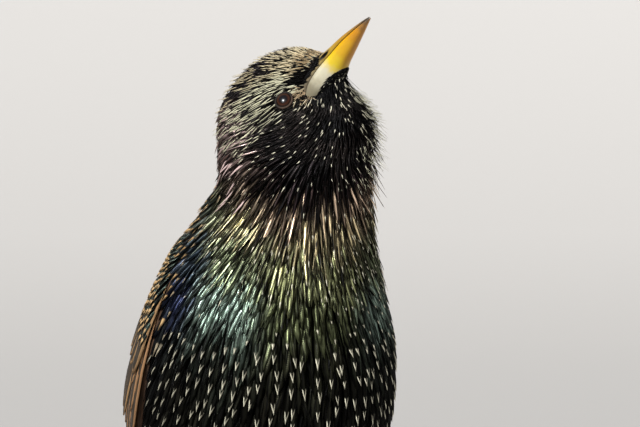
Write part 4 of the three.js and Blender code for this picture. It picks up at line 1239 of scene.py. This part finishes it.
scaly, tree = new_material("scaly_skin")
cells = add_node(tree, "TexVoronoi", "Distance", feature="DISTANCE_TO_EDGE", Scale=1500.0,
                 Vector=add_node(tree, "TexCoord", "Object"))
flesh = specks(tree, 500.0).mix((0.20, 0.085, 0.052, 1), (0.42, 0.21, 0.13, 1))
seam = cells.ramp(0.0, 0.12)
shade(tree, Base_Color=seam.mix((0.10, 0.045, 0.03, 1), flesh), Normal=bump(seam, 0.6, 0.0002),
      Roughness=0.5)
claw_horn = horn_finish("claw_horn", [
    (0.0, (0.10, 0.06, 0.045)), (0.5, (0.05, 0.032, 0.026)), (1.0, (0.02, 0.014, 0.012))],
    (0.05, 0.03, 0.02), 0.32)


def rings_round(centres, wide, deep, across, around):
    """Rings round a path, some wide and some deep, none below the floor."""
    ahead = unit(np.gradient(centres, axis=0))
    high = unit(np.cross(ahead, across))
    side = np.cross(high, ahead)
    turns = 2 * np.pi * (np.arange(around) + 0.5) / around
    rings = (centres[:, None] + side[:, None] * (wide[:, None] * np.cos(turns))[..., None]
             + high[:, None] * (deep[:, None] * np.sin(turns))[..., None])
    rings[..., 2] = np.maximum(rings[..., 2], 0.0)
    return rings


def thigh_surface(mirror):
    """The thigh of one side, by its rows and by degrees round it."""
    def on_thigh(t, angle, lift=0.0):
        t, angle, lift = np.broadcast_arrays(t, angle, lift)
        row = eased(THIGH_ROWS, t)
        ahead = unit(eased(THIGH_ROWS, t + STEP)[..., :3] - eased(THIGH_ROWS, t - STEP)[..., :3])
        high = unit(np.cross(ahead, ACROSS))
        side = np.cross(high, ahead)
        far = (row[..., 3] + lift)[..., None]
        turn = np.radians(angle)[..., None]
        return (row[..., :3] + (side * np.cos(turn) + high * np.sin(turn)) * far) * mirror
    return on_thigh


def toe_rings(way, side, length, joints):
    """A toe from its root in the foot, swollen at its joints and ridged above by its scales."""
    share = np.linspace(-0.08, 1, TOE_RINGS)
    swell = (1.1 - 0.3 * np.clip(share, 0, 1)) * (1 + TOE_SWELL * np.cos(2 * np.pi * joints * share))
    swell[-TOE_END:] *= np.sqrt(np.linspace(1, 0.25, TOE_END))
    swell[0] *= 0.3
    ridges = TOE_RIDGE * (1 - (share * length / TOE_SCALE) % 1.0)
    centres = TOE_ROOT + way * (share * length)[:, None]
    centres[:, 2] = TOE_THICK * swell * 0.86
    rings = rings_round(centres, TOE_THICK * swell, TOE_THICK * swell, side, TOE_AROUND)
    above = np.clip((rings - centres[:, None])[..., 2] / TOE_THICK, 0, 1)
    rings[..., 2] += ridges[:, None] * above * TOE_THICK
    return rings


def claw_rings(way, side, start, length):
    """A claw that arches forward from its toe and down to the floor."""
    rows = eased(CLAW_ROWS, np.linspace(0, len(CLAW_ROWS) - 1, CLAW_RINGS))
    centres = TOE_ROOT + way * (start + length * rows[:, 0])[:, None]
    centres[:, 2] = rows[:, 1]
    return rings_round(centres, rows[:, 2] * 0.8, rows[:, 2], side, CLAW_AROUND)


def add_rings(points, faces, rings):
    """Adds a tube of rings, such as a toe, to the one mesh of a foot."""
    base = sum(len(part) for part in points)
    points.append(rings.reshape(-1, 3))
    faces.extend([tuple(base + k for k in face) for face in tube_faces(*rings.shape[:2])])


for side_name, sign in (("right", -1), ("left", 1)):
    mirror = np.array([sign, 1, 1])
    surface = thigh_surface(mirror)
    thigh_at = np.linspace(0.02, 2.98, THIGH_RINGS)
    thigh_angles = np.arange(THIGH_AROUND) * 360 / THIGH_AROUND
    points = surface(thigh_at[:, None], thigh_angles[None, :], -THIGH_DEPTH)
    thigh = new_object("thigh_skin_" + side_name, points.reshape(-1, 3),
                       tube_faces(THIGH_RINGS, THIGH_AROUND))
    dress(thigh.data, (0.02, 0.018, 0.016), SKIN_TIP, NO_MARK)
    thigh_uv = np.stack([np.tile(thigh_angles / 36, THIGH_RINGS), np.repeat(thigh_at, THIGH_AROUND)], 1)
    set_uv(thigh.data, "Vane", thigh_uv)
    set_uv(thigh.data, "OFBake", thigh_uv / 11)
    finish_piece(thigh, plumage, ["thigh_" + side_name])
    first, second, size, count = roots(0.1, 2.9, 0, 360, 26, 1.3, surface)
    feathers(
        "thigh_feathers_" + side_name, plumage, surface, first, second,
        np.clip(size * 3.4, 2.5, 7.0), size * 1.4, (-0.8, 0.1, 0.35),
        varied(np.array([0.035, 0.032, 0.030]), count, 0.4), varied(CREAM, count),
        (chance.uniform(0.86, 1.0, count), 0.5, 0.5), LEAF, chance.normal(0, 0.08, count),
        bake=np.stack([second / 360 * 0.9 + 0.05, first / 3.3 * 0.9 + 0.05], 1))

    rows = eased(SHANK_ROWS, np.linspace(0, len(SHANK_ROWS) - 1, SHANK_RINGS))
    centres = rows[:, :3] * mirror
    outwards = rings_round(centres, rows[:, 3], rows[:, 4], ACROSS, SHANK_AROUND) - centres[:, None]
    scute = (rows[:, 2] / SCUTE) % 1.0
    facing = np.clip(-unit(outwards)[..., 1], 0, 1)
    rings = centres[:, None] + outwards * (1 + SCUTE_EDGE * (1 - scute)[:, None] * facing)[..., None]
    rings[..., 2] = np.maximum(rings[..., 2], 0.3)
    shank = new_object("shank_" + side_name, rings.reshape(-1, 3), tube_faces(SHANK_RINGS, SHANK_AROUND))
    finish_piece(shank, scaly, ["tarsus_" + side_name])

    foot_points, foot_faces = [], []
    for toe, bearing, length, claw_length, joints in TOES:
        angle = math.radians(bearing)
        way = np.array([math.sin(angle), -math.cos(angle), 0.0])
        side = np.cross(way, [0, 0, 1.0])
        add_rings(foot_points, foot_faces, toe_rings(way, side, length, joints) * mirror)
        rings = claw_rings(way, side, length + CLAW_GAP, claw_length)
        claw = new_object(f"claw_{toe}_{side_name}_horn", (rings * mirror).reshape(-1, 3),
                          tube_faces(CLAW_RINGS, CLAW_AROUND))
        along = np.repeat(np.linspace(0, 1, CLAW_RINGS), CLAW_AROUND)
        finish_horn(claw, claw_horn, [f"claw_{toe}_{side_name}"], along, 0.0, 0.0)
    pad_rows = eased(PAD_ROWS, np.linspace(0, len(PAD_ROWS) - 1, PAD_RINGS))
    turns = 2 * np.pi * np.arange(PAD_AROUND) / PAD_AROUND
    pad = np.stack([TOE_ROOT[0] + pad_rows[:, 1:] * np.cos(turns),
                    TOE_ROOT[1] + pad_rows[:, 1:] * np.sin(turns),
                    np.repeat(pad_rows[:, :1], PAD_AROUND, 1)], -1)
    add_rings(foot_points, foot_faces, pad * mirror)
    foot = new_object("foot_skin_" + side_name, np.concatenate(foot_points), foot_faces)
    finish_piece(foot, scaly, ["foot_" + side_name])

# The floor and its sweep: a wide round bowl of matt paper under the bird and all round it, so that
# every view has the same plain ground. It belongs to the studio and not to the bird.
BOWL = [(5.8, 0.0), (6.8, 0.12), (7.6, 0.5), (8.2, 1.3), (8.5, 2.6), (8.6, 4.8)]
BOWL_AROUND = 64
bpy.ops.object.select_all(action="DESELECT")
bowl_turns = [2 * math.pi * k / BOWL_AROUND for k in range(BOWL_AROUND)]
bowl_points = [(radius * math.cos(turn), radius * math.sin(turn), height)
               for radius, height in BOWL for turn in bowl_turns]
bowl_faces = [face[::-1] for face in tube_faces(len(BOWL), BOWL_AROUND, closed_ends=False)]
bowl_faces.append(tuple(range(BOWL_AROUND)))
bowl_mesh = bpy.data.meshes.new("studio_floor")
bowl_mesh.from_pydata(bowl_points, [], bowl_faces)
studio_floor = linked("studio_floor", bowl_mesh)
paper, tree = new_material("paper")
shade(tree, Base_Color=(0.31, 0.30, 0.288, 1), Roughness=0.9)
bowl_mesh.materials.append(paper)

# Soft studio light, as the camera sees it: a broad sun from the front left and above, a weak fill
# from the right, and a lamp from behind that draws the back's contour.
KEY_WAY = Vector((-1.05, -0.75, 0.83))
KEY_POWER = 8.0
LAMPS_AIM = Vector((0, 0, 0.12))
LAMPS = [("fill", (0.9, -0.7, 0.35), 0.6, 3.0), ("rim", (0.3, 0.9, 0.8), 0.4, 10.0)]
world = bpy.data.worlds.new("studio")
world.use_nodes = True
feed(world.node_tree.nodes["Background"], Color=(0.78, 0.80, 0.84, 1), Strength=0.42)
bpy.context.scene.world = world
bpy.context.scene.view_settings.view_transform = "Standard"


def new_lamp(name, kind, way, power):
    """A lamp that shines against a way."""
    data = bpy.data.lights.new(name, kind)
    data.energy = power
    lamp = bpy.data.objects.new(name, data)
    lamp.rotation_euler = way.to_track_quat("Z", "Y").to_euler()
    bpy.context.scene.collection.objects.link(lamp)
    return lamp


new_lamp("key", "SUN", KEY_WAY, KEY_POWER).data.angle = math.radians(10)
for name, place, size, power in LAMPS:
    lamp = new_lamp(name, "AREA", Vector(place) - LAMPS_AIM, power)
    lamp.data.shape = "DISK"
    lamp.data.size = size
    lamp.location = place
    lamp.visible_camera = False
